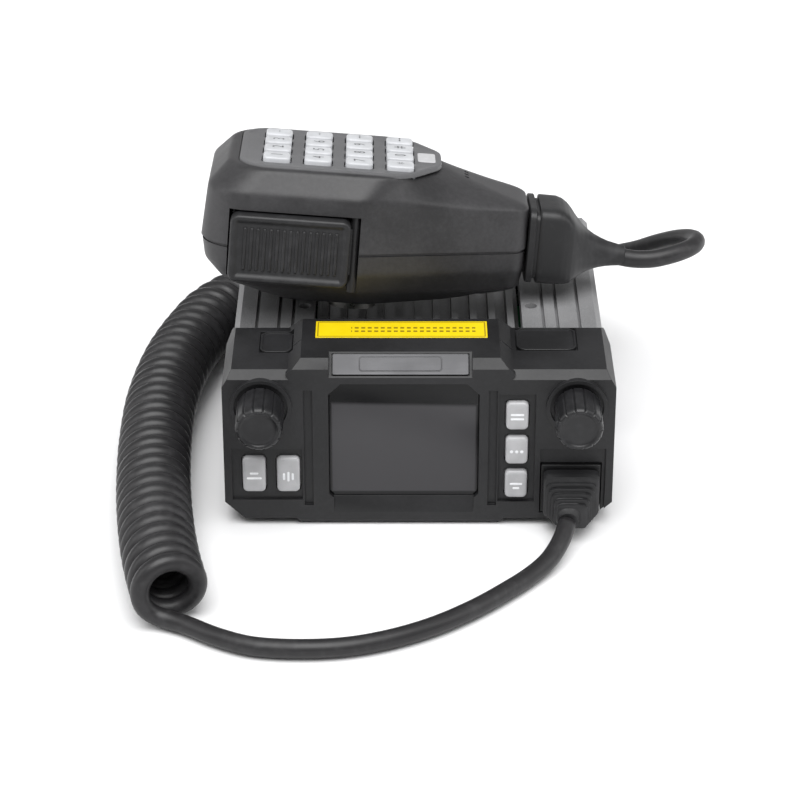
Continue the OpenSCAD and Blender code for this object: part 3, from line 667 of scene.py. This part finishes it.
# Name plate: blank, with a raised rounded frame inside its edge
plateSet = dict(centre=(-4.6, -53.9, 44.2), tilt=34.1, half=(17.0, 3.0), frameHalf=(10.4, 2.15),
                squareAt=19.4)
tilt = math.radians(plateSet["tilt"])
sloping = dict(right=np.array([1.0, 0, 0]), up=np.array([0, math.cos(tilt), math.sin(tilt)]),
               out=np.array([0, -math.sin(tilt), math.cos(tilt)]))
plateBody = pillow("plateBody", plateSet["centre"], plateSet["half"], 0.5,
                   [(0, -0.45), (0, 0.25), (0.08, 0.33), (0.25, 0.36)], sloping, fromRadio)
plateFrame = pillow("plateFrame", plateSet["centre"], plateSet["frameHalf"], 0.9,
                    [(0, 0.3), (0, 0.40), (0.06, 0.44), (0.20, 0.44), (0.26, 0.40), (0.3, 0.375)],
                    sloping, fromRadio)
plate = joined("name_plate_made", [plateBody, plateFrame])
smoothByAngle(plate)
claim(plate, "radio", "plate", plateGrey, "name_plate")
# Squares beside the plate: panel plastic whose lighter colour is a painted highlight on their facets
squares = [pillow("square%d" % side, np.array(plateSet["centre"]) + [side * plateSet["squareAt"], 0, 0],
                  (1.5, 2.5), 0.4, [(0, -0.3), (0, 0.34), (0.1, 0.46), (0.3, 0.5)], sloping, fromRadio)
           for side in (-1, 1)]
squares = joined("plate_squares", squares)
smoothByAngle(squares)
claim(squares, "radio", "panel_plastic", squareGrey)

# Covers beside the crown: low tongues with a raised rounded rim
clipSet = [dict(centre=(-36.0, -40.0, 43.5), half=(4.0, 5.6), radius=2.2),
           dict(centre=(32.35, -38.3, 43.5), half=(7.55, 6.1), radius=2.6)]
clipRows = [(0, -0.7), (0, 0.08), (0.08, 0.15), (0.4, 0.15), (0.5, 0.1), (0.55, -0.12), (0.7, -0.2)]
clips = [pillow("clip%d" % i, one["centre"], one["half"], one["radius"], clipRows, flat, fromRadio)
         for i, one in enumerate(clipSet)]
clips = joined("panel_clips_made", clips)
smoothByAngle(clips)
claim(clips, "radio", "panel_plastic", clipBlack, "panel_clips")
print("radio casing made")

# Knobs: fourteen wide flats with a thin groove between each two, a rounded rim and a dished front
knobSet = dict(radius=6.05, length=13.0, height=34.2, reach=39.5, flats=14, groove=0.42)


def flatsRound(profile, angle):
    # Distance to a regular polygon's side over its corner radius, less a narrow dip at each corner
    half = math.pi / knobSet["flats"]
    within = np.mod(angle, 2 * half) - half
    side = math.cos(half) / np.cos(within)
    dip = knobSet["groove"] / knobSet["radius"] * np.exp(-((half - np.abs(within)) / 0.035) ** 2)
    skirt = np.clip((profile[:, 0] - 4.6) / 0.8, 0, 1)[:, None]
    return 1 - skirt * (1 - (side - dip)[None, :])


def makeKnob(node, x, slot):
    r, l = knobSet["radius"], knobSet["length"]
    face = np.array([x, -57.0, knobSet["height"]])
    profile = [(2.9, -8.9), (2.98, -8.8), (2.98, -1.0), (2.98, 1.25), (r - 0.5, 1.25), (r - 0.12, 1.4),
               (r, 1.8), (r, l * 0.5), (r - 0.04, l - 1.6), (r - 0.14, l - 0.9), (r - 0.42, l - 0.35),
               (r - 0.8, l - 0.08), (r - 1.1, l), (r - 1.35, l - 0.06), (r - 1.6, l - 0.3),
               (r - 1.85, l - 0.48), (r - 2.6, l - 0.52), (1.5, l - 0.46), (0.4, l - 0.44)]
    knob = turned(node + "_made", profile, face, front, fromRadio, knobSet["flats"] * 20, flatsRound)
    smoothByAngle(knob, 50)
    claim(knob, node, slot, knobBlack, node)


makeKnob("left_knob", -knobSet["reach"], "knob_rubber")
makeKnob("right_knob", knobSet["reach"], "knob_rubber")

# Front keys: pillowed caps on a flange, with plain white marks
frontKeySet = dict(face=-57.6, panelFace=-57.0, radius=1.25)
markRows = {"left_key_1": [(0, -0.5, 1.9, 0.3), (0, 0.9, 1.1, 0.3)],
            "left_key_2": [(-1.1, 0, 0.3, 1.0), (0, 0, 0.3, 1.4), (1.1, 0, 0.3, 1.0)],
            "right_key_1": [(0, 0.9, 1.7, 0.3), (0, -0.3, 1.7, 0.3)],
            "right_key_2": [(-1.3, 0.2, 0.42, 0.42), (0, 0.2, 0.42, 0.42), (1.3, 0.2, 0.42, 0.42)],
            "right_key_3": [(0, 0.6, 1.6, 0.3), (0, -0.6, 0.9, 0.3)]}


def makeFrontKey(node):
    low, high = (np.array(corner) * 1000 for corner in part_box(node))
    half = (high - low)[[0, 2]] / 2 - 0.7
    centre = np.array([(low[0] + high[0]) / 2, frontKeySet["panelFace"], (low[2] + high[2]) / 2])
    rise = frontKeySet["panelFace"] - frontKeySet["face"]
    rows = [(-0.7, -4.0), (-0.7, -3.2), (0, -3.2), (0, rise - 0.55), (0.12, rise - 0.26), (0.35, rise - 0.1),
            (0.8, rise - 0.03), (1.6, rise)]
    cap = pillow(node + "_made", centre, half, frontKeySet["radius"], rows, front, fromRadio, 72)
    smoothByAngle(cap, 50)
    claim(cap, node, "front_key_plastic", frontKeyGrey, node)
    marks = [bar("mark", centre + [x, -rise - 0.01, z - 0.4], (w, h), front, fromRadio, 0.03)
             for x, z, w, h in markRows[node]]
    claim(joined(node + "_marks", marks), node, "front_key_plastic", inkWhite)


for node in markRows:
    makeFrontKey(node)
print("knobs and front keys made")


# Hand microphone, in its own millimetres
micSet = dict(headRadius=11.0, tailRadius=5.5, around=720, points=340, crease=1.7, step=0.3, tailDrop=2.5)

# Each level: z, head x, half width there, waist x, half width there, tail x, half width there, drawn in by
frontLevels = [(0.0, -41, 27, -2, 27, 43, 14, 0), (13.5, -40, 26, -2, 26, 43, 12.5, 0),
               (19.3, -35, 22.5, 2, 22, 21, 6, 0), (19.3, -35, 22.5, 2, 22, 21, 6, 4.5)]
backLevels = [(-0.1, -41, 27, -2, 27, 43, 14, 0.7), (-0.75, -41, 27, -2, 27, 43, 14, 0.7),
              (-0.85, -41, 27, -2, 27, 43, 14, 0.35), (-6, -40, 26.2, -2, 26.2, 43, 13.5, 0.2),
              (-11.5, -35.5, 23, -2, 23, 42, 11, 0), (-16.5, -25, 16, 0, 16, 24, 7.5, 0),
              (-16.5, -25, 16, 0, 16, 24, 7.5, 7)]


def softLevels(levels, crease, step):
    # The levels joined by straight lines, sampled evenly, then each sample averaged with its near ones,
    # which rounds the creases; the two ends carry on straight, so they stay where they are
    levels = np.asarray(levels, float)
    steps = np.hypot(np.diff(levels[:, 0]), np.diff(levels[:, 2] - levels[:, 7]))
    along = np.concatenate([[0], np.cumsum(steps)])
    count = int(along[-1] / step) + 1
    at = np.linspace(0, along[-1], count)
    table = np.stack([np.interp(at, along, levels[:, k]) for k in range(levels.shape[1])], axis=1)
    reach = max(1, int(crease / step))
    headStep, tailStep = table[1] - table[0], table[-1] - table[-2]
    extra = np.arange(reach, 0, -1)[:, None]
    padded = np.vstack([table[0] - extra * headStep, table, table[-1] + extra[::-1] * tailStep])
    window = np.hanning(2 * reach + 3)[1:-1]
    window /= window.sum()
    return np.stack([np.convolve(padded[:, k], window, mode="valid") for k in range(table.shape[1])], axis=1)


def micRings(levels, drawnIn=0.0):
    # Outline of a level: the hull of three pairs of circles, taken by its outward angle, where the point
    # is on the circle that reaches furthest that way
    angle = (np.arange(micSet["around"]) + 0.5) * 2 * np.pi / micSet["around"]
    direction = np.stack([np.cos(angle), np.sin(angle)], axis=1)
    z, headX, headHalf, waistX, waistHalf, tailX, tailHalf, inset = np.asarray(levels).T
    big, small = micSet["headRadius"], micSet["tailRadius"]
    corners = ((headX + big, headHalf - big), (waistX, waistHalf - big), (tailX - small, tailHalf - small))
    centres = np.stack([np.stack([x, side * y], axis=1) for side in (1, -1) for x, y in corners], axis=1)
    radius = np.array([big, big, small] * 2)[None, :] - inset[:, None] - drawnIn
    reach = centres @ direction.T + radius[..., None]
    best = reach.argmax(axis=1)
    row = np.arange(len(z))[:, None]
    middle = centres[row, best]
    outline = middle + radius[row, best][..., None] * direction[None]
    # the same outline with its points evenly spaced, from the middle of the tail
    spaced = []
    for ring in outline:
        ring = np.vstack([ring, ring[:1]])
        along = lengths(ring)
        at = (np.arange(micSet["points"]) + 0.5) * along[-1] / micSet["points"]
        spaced.append(np.stack([np.interp(at, along, ring[:, k]) for k in (0, 1)], axis=1))
    spaced = np.array(spaced)
    # the tail end of the face slopes down
    fall = np.clip((spaced[..., 0] - 2) / 38, 0, 1)
    height = z[:, None] - micSet["tailDrop"] * fall * fall * (3 - 2 * fall) * np.clip(z[:, None] / 13.5, 0, 1)
    return np.concatenate([spaced, height[..., None]], axis=2)


def micSolid(name, levels, drawnIn=0.0, lower=0.0):
    rings = micRings(levels, drawnIn)
    rings[..., 2] -= np.sign(rings[..., 2]) * lower * (np.abs(rings[..., 2]) > 1)
    piece = gridPiece(name, fromMic(rings), capStart=True, capEnd=True)
    faceOutwards(piece)
    return piece


def micBlock(name, low, high, radius=0.6):
    # A rounded upright block, for taking a hollow out of a shell
    low, high = np.array(low, float), np.array(high, float)
    half, centre = (high - low)[:2] / 2, np.append((low + high)[:2] / 2, 0)
    return pillow(name, centre, half, radius, [(0, low[2]), (0, high[2])], flat, fromMic, 32)


pttSet = dict(x=(-33.4, -2.9), halfZ=8.8, rim=-29.5, ribs=15, pin=(-1.8, -24.3))


def pttHollow():
    # the key's slot, and the deeper room that its free end swings into
    low = (pttSet["x"][0] - 0.5, -34, -pttSet["halfZ"] - 0.5)
    high = (pttSet["x"][1] + 2.4, -22.9, pttSet["halfZ"] + 0.5)
    return (micBlock("pttHollow", low, high, 0.5),
            micBlock("pttRoom", (low[0] + 0.01, -30, low[2]), (high[0] - 7, -20.6, high[2]), 0.5))


def plateRing(drawnIn, count=160):
    # Keypad plate's outline: round corners at the head and a bowed taper to a blunt point at the tail,
    # by its outward angle on circles at the corners, the shoulders and the point
    angle = (np.arange(count) + 0.5) * 2 * np.pi / count
    direction = np.stack([np.cos(angle), np.sin(angle)], axis=1)
    spots = [(x, side * y, r) for x, y, r in ((-24.5, 12.7, 8.0), (4.0, 8.7, 12.0), (9.6, 4.0, 10.0))
             for side in (1, -1)]
    centres = np.array([s[:2] for s in spots])
    radius = np.array([s[2] for s in spots]) - drawnIn
    best = (centres @ direction.T + radius[:, None]).argmax(axis=0)
    return centres[best] + radius[best][:, None] * direction


def plateLoft(name, rows):
    rings = np.array([np.column_stack([plateRing(inset), np.full(160, z)]) for inset, z in rows])
    piece = gridPiece(name, fromMic(rings), capStart=True, capEnd=True)
    faceOutwards(piece)
    return piece


softFront = softLevels(frontLevels, micSet["crease"], micSet["step"])
softBack = softLevels(backLevels[2:], micSet["crease"], micSet["step"])
softBack = np.vstack([np.array(backLevels[:2]), softBack])
frontShell = micSolid("mic_front_made", softFront)
cut(frontShell, micSolid("inside", [(-2.0, *frontLevels[0][1:]), *frontLevels[1:3]], 2.2, 2.0))
keyHollow = micBlock("keyHollow", (-28.0, -16.5, 10), (12.9, 16.5, 30), 1.5)
soundHoles = [turned("hole%d" % i, [(0.65, -8), (0.65, 6)], (26.5, i * 2.6, 14), flat, fromMic, 16)
              for i in (-1, 0, 1)]
cut(frontShell, *pttHollow(), plateLoft("seat", [(-0.22, 18.55), (-0.22, 24)]), keyHollow, *soundHoles)
smoothByAngle(frontShell, 32)
claim(frontShell, "microphone", "mic_plastic", micBlack, "mic_front_shell")

backShell = micSolid("mic_back_made", softBack)
cut(backShell, micSolid("inside", [(2.0, *backLevels[0][1:7], 0.7), *backLevels[3:6]], 2.2, 2.0))
screwHoles = [turned("hole%d" % i, [(2.4, -30), (2.4, -6)], (x, y, 0), flat, fromMic, 24)
              for i, (x, y) in enumerate(((-33, -16), (-33, 16), (31, -7.5), (31, 7.5)))]
studHole = turned("stud", [(2.05, -30), (2.05, -10)], (-1, 0, 0), flat, fromMic, 24)
cut(backShell, *pttHollow(), *screwHoles, studHole)
smoothByAngle(backShell, 32)
claim(backShell, "microphone", "mic_plastic", micBlack, "mic_back_shell")
print("microphone shells made")

# Keypad plate with its windows, a fine raised edge and a blank badge at the tail end
keypadSet = dict(columns=[-23 + i * 10.57 for i in range(4)], rows=[(j - 1.5) * 8.4 for j in range(4)],
                 half=(3.5, 3.2))
keypad = plateLoft("keypad_plate_made", [(0, 18.65), (0, 19.45), (0.1, 19.66), (0.35, 19.75), (1.4, 19.75),
                                         (1.55, 19.68), (1.75, 19.62)])
cut(keypad, *[micBlock("window%d" % i, (x - 3.85, y - 3.55, 15), (x + 3.85, y + 3.55, 25), 1.45)
              for i, (x, y) in enumerate((x, y) for x in keypadSet["columns"] for y in keypadSet["rows"])])
badge = pillow("badge", (15.7, 0, 19.55), (2.3, 4.6), 0.8, [(0, -0.1), (0, 0.12), (0.1, 0.19), (0.3, 0.2)],
               flat, fromMic)
smoothByAngle(keypad)
keypadGrey = mouldedPlastic("keypadGrey", (0.10, 0.10, 0.104), 0.42, variation=0.15)
claim(keypad, "microphone", "keypad_grey", keypadGrey, "keypad_plate")
smoothByAngle(badge)
badgePale = mouldedPlastic("badgePale", (0.46, 0.46, 0.47), 0.4, variation=0.12)
claim(badge, "microphone", "keypad_grey", badgePale)

legends = ["123", "456", "789", "*0#"]


def legendMesh(name, symbol, x, y, z):
    # A flat figure on a key: upright with the microphone's head at the top
    words = bpy.data.curves.new(name, "FONT")
    words.body = symbol
    words.size = 4.2
    words.align_x = "CENTER"
    words.align_y = "CENTER"
    words.extrude = 0.03
    words.resolution_u = 3
    holder = bpy.data.objects.new(name, words)
    mesh = bpy.data.meshes.new_from_object(holder)
    bpy.data.objects.remove(holder)
    points = np.array([v.co for v in mesh.vertices], float).reshape(-1, 3)
    if len(points):
        points[:, :2] -= (points[:, :2].min(axis=0) + points[:, :2].max(axis=0)) / 2
    local = np.column_stack([x - points[:, 1], y + points[:, 0], z + points[:, 2]])
    mesh.vertices.foreach_set("co", fromMic(local).ravel())
    mesh.update()
    return linkMesh(name, mesh)


for n in range(16):
    node = "mic_key_%d" % (n + 1)
    x, y = keypadSet["columns"][n // 4], keypadSet["rows"][n % 4]
    rows = [(-0.55, 17.05), (-0.55, 17.75), (0, 17.75), (0, 20.35), (0.1, 20.65), (0.32, 20.84), (0.8, 20.93),
            (1.8, 20.97), (2.6, 20.98)]
    cap = pillow(node + "_made", (x, y, 0), keypadSet["half"], 1.3, rows, flat, fromMic, 48)
    smoothByAngle(cap, 55)
    claim(cap, node, "mic_key_plastic", micKeyPale, node)
    if n % 4 < 3:
        figure = legendMesh(node + "_figure", legends[n // 4][n % 4], x, y, 20.955)
    else:
        figure = bar(node + "_figure", (x, y, 20.95), (0.28, 0.9 + 0.25 * (n // 4)), flat, fromMic, 0.03)
    claim(figure, node, "mic_key_plastic", inkDark)
print("keypad made")

# Talk key: a rounded pad with a raised rim and upright ribs in its field
pttMiddle = (np.mean(pttSet["x"]), 0.0, 0.0)
pttHalf = ((pttSet["x"][1] - pttSet["x"][0]) / 2, pttSet["halfZ"])
rise = -pttSet["rim"]
padRows = [(0, 24.0), (0, rise - 0.9), (0.1, rise - 0.5), (0.32, rise - 0.18), (0.65, rise - 0.03),
           (1.0, rise), (1.4, rise - 0.08), (1.8, rise - 0.35), (2.15, rise - 0.6), (2.7, rise - 0.68),
           (5.0, rise - 0.6)]
pad = pillow("pttPad", pttMiddle, pttHalf, 2.3, padRows, front, fromMic, 96)
ribRows = [(0, rise - 0.8), (0, rise - 0.42), (0.1, rise - 0.26), (0.28, rise - 0.17), (0.4, rise - 0.15)]
ribPlaces = np.linspace(pttSet["x"][0] + 3.9, pttSet["x"][1] - 3.5, pttSet["ribs"])
ribs = [pillow("rib%d" % i, (x, 0, 0), (0.46, 5.6), 0.45, ribRows, front, fromMic, 20)
        for i, x in enumerate(ribPlaces)]
pin = turned("pttPin", [(0.9, -10.8), (1.2, -10.6), (1.2, 10.6), (0.9, 10.8)], (*pttSet["pin"], 0),
             flat, fromMic, 32)
arm = micBlock("pttArm", (pttSet["x"][1] - 1, pttSet["pin"][1] - 1, -6),
               (pttSet["pin"][0], pttSet["pin"][1] + 0.8, 6), 0.3)
talkKey = joined("ptt_button_made", [pad, *ribs, pin, arm])
smoothByAngle(talkKey, 50)
claim(talkKey, "ptt_button", "mic_rubber", pushBlack, "ptt_button")

# Boot: collar, groove, block and a flare that sweeps down to the cord; each station is
# x, half width, half height, middle height and how square it is, from 2, round, to 9
bootStations = [(43.35, 10.6, 9.6, 0.35, 8), (43.6, 10.9, 9.9, 0.35, 8), (45.0, 10.9, 9.9, 0.35, 8),
                (45.2, 10.7, 9.7, 0.35, 8), (45.3, 9.9, 9.0, 0.3, 8), (46.1, 9.9, 9.0, 0.3, 8),
                (46.2, 10.0, 9.95, 0.3, 8), (46.6, 10.2, 10.1, 0.3, 8), (51.0, 10.2, 10.05, 0.25, 8),
                (52.6, 10.15, 9.8, 0.0, 7.5), (54.0, 9.9, 9.3, -0.4, 7), (55.2, 9.5, 8.6, -0.9, 6),
                (56.2, 8.7, 7.7, -1.25, 5.2), (57.2, 7.6, 6.9, -1.5, 4.4), (58.4, 6.5, 6.0, -1.75, 3.7),
                (59.8, 5.5, 5.2, -2.0, 3.1), (61.4, 4.6, 4.5, -2.2, 2.6), (63.2, 3.9, 3.9, -2.35, 2.2),
                (65.0, 3.4, 3.4, -2.5, 2), (66.8, 3.05, 3.05, -2.6, 2), (68.4, 2.8, 2.8, -2.7, 2),
                (69.6, 2.6, 2.6, -2.75, 2), (69.8, 2.3, 2.3, -2.75, 2)]


def squareLoft(name, stations, place, count=96, fine=4):
    # Superellipse rings across x: |y/a|^n + |z/b|^n = 1, with a, b, n and the middle height in
    # straight lines from station to station, in as many steps as fine says
    table = np.asarray(stations, float)
    at = np.linspace(0, len(table) - 1, (len(table) - 1) * fine + 1)
    table = np.stack([np.interp(at, np.arange(len(table)), table[:, k]) for k in range(5)], axis=1)
    angle = (np.arange(count) + 0.5) * 2 * np.pi / count
    c, s = np.cos(angle), np.sin(angle)
    x, a, b, middle, power = (table[:, k][:, None] for k in range(5))
    reach = (np.abs(c) ** power + np.abs(s) ** power) ** (-1 / power)
    points = np.stack([np.broadcast_to(x, reach.shape), a * reach * c, middle + b * reach * s], axis=2)
    piece = gridPiece(name, place(points), capStart=True, capEnd=True)
    faceOutwards(piece)
    return piece


boot = squareLoft("mic_boot_made", bootStations, fromMic)
smoothByAngle(boot, 40)
claim(boot, "microphone", "boot_rubber", bootBlack, "mic_boot")
print("talk key and boot made")

# Plug's boot: a flat-topped block with steps below its edge, fins at the side and a short neck
plugSet = dict(x=38.5, face=-57.2)


def fromPlug(points):
    # plug millimetres (away from the face, across, up) to frame metres
    points = np.asarray(points, float)
    x, y = plugSet["x"] + points[..., 1], plugSet["face"] - points[..., 0]
    return np.stack([x, y, points[..., 2]], axis=-1) * 0.001


plugBlock = squareLoft("plugBlock", [(0.1, 6.9, 5.8, 10.2, 9), (0.35, 7.2, 6.05, 10.2, 9),
                                     (2.4, 7.2, 6.05, 10.15, 9), (3.5, 7.0, 5.85, 10.0, 9),
                                     (3.8, 6.5, 5.5, 9.6, 9)], fromPlug, 96, 3)
steps = []
for i in range(5):
    # each step stands further out and lower, and is smaller, than the last
    out, less, drop = 3.6 + i * 1.3, i * 0.66, i * 0.36
    stations = [(out, 6.3 - less, 5.1 - less * 0.72, 9.25 - drop, 7),
                (out + 0.14, 6.5 - less, 5.25 - less * 0.72, 9.25 - drop, 7),
                (out + 0.7, 6.5 - less, 5.25 - less * 0.72, 9.2 - drop, 7),
                (out + 0.84, 6.25 - less, 5.0 - less * 0.72, 9.2 - drop, 7)]
    steps.append(squareLoft("step%d" % i, stations, fromPlug, 64, 2))


def fromPlugBent(points):
    # the same, with the neck drawn 1.1 mm to the left by its end
    side = points[..., 1] - np.clip((points[..., 0] - 4) / 7, 0, 1) * 1.1
    return fromPlug(np.stack([points[..., 0], side, points[..., 2]], axis=-1))


core = squareLoft("plugCore", [(3.3, 5.8, 4.7, 9.3, 7), (6.6, 4.3, 3.8, 8.4, 6), (9.0, 3.2, 3.1, 7.6, 3),
                               (10.4, 2.75, 2.75, 7.15, 2), (11.0, 2.6, 2.6, 7.0, 2)], fromPlugBent, 64, 3)
tongue = squareLoft("plugTongue", [(-10.5, 5.6, 3.3, 10.5, 9), (-10.3, 5.8, 3.4, 10.5, 9),
                                   (0.2, 5.8, 3.4, 10.5, 9)], fromPlug, 64, 2)
plug = joined("mic_plug_made", [plugBlock, *steps, core, tongue])
smoothByAngle(plug, 40)
claim(plug, "radio", "boot_rubber", bootBlack, "mic_plug")

tuple(cordLine[0])
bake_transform(cord)


# Floor and studio light
floorSet = dict(half=6.0, height=-0.0002)
floorMesh = bpy.data.meshes.new("floor")
floorMesh.from_pydata([(x * floorSet["half"], y * floorSet["half"], floorSet["height"])
                       for x, y in ((-1, -1), (1, -1), (1, 1), (-1, 1))], [], [(0, 1, 2, 3)])
floor = linkMesh("floor", floorMesh)
floorPaint = Paint("paleFloor", roughness=0.75)
floorTone = floorPaint.noise(3.0).fade(0.3, 0.7)
floorPaint.give(baseColor=floorTone.blendColours((0.74, 0.74, 0.745), (0.78, 0.78, 0.785)))
floorMesh.materials.append(floorPaint.material)

studioSet = dict(world=0.36, sky=4.0, skyHeight=68.0, skyWidth=55.0, side=2.5, sideSize=(0.5, 0.8),
                 sidePlace=(0.9, -0.15, 0.5), aim=(0, 0, 0.03))
world = bpy.data.worlds.new("studio")
world.use_nodes = True
world.node_tree.nodes["Background"].inputs["Color"].default_value = (1.0, 1.0, 1.0, 1.0)
world.node_tree.nodes["Background"].inputs["Strength"].default_value = studioSet["world"]
bpy.context.scene.world = world


def softBox(name, side):
    lamp = bpy.data.lights.new(name, "AREA")
    lamp.shape = "RECTANGLE"
    lamp.size, lamp.size_y = studioSet["sideSize"]
    lamp.energy = studioSet["side"]
    holder = bpy.data.objects.new(name, lamp)
    x, y, z = studioSet["sidePlace"]
    holder.location = (side * x, y, z)
    holder.rotation_euler = (Vector(studioSet["aim"]) - holder.location).to_track_quat("-Z", "Y").to_euler()
    bpy.context.scene.collection.objects.link(holder)


sun = bpy.data.lights.new("skylight", "SUN")
sun.energy = studioSet["sky"]
sun.angle = math.radians(studioSet["skyWidth"])
sunHolder = bpy.data.objects.new("skylight", sun)
sunHolder.rotation_euler = (math.radians(90 - studioSet["skyHeight"]), 0, 0)
bpy.context.scene.collection.objects.link(sunHolder)
softBox("leftSide", -1)
softBox("rightSide", 1)
bpy.context.scene.view_settings.view_transform = "Standard"
print("floor and light made")
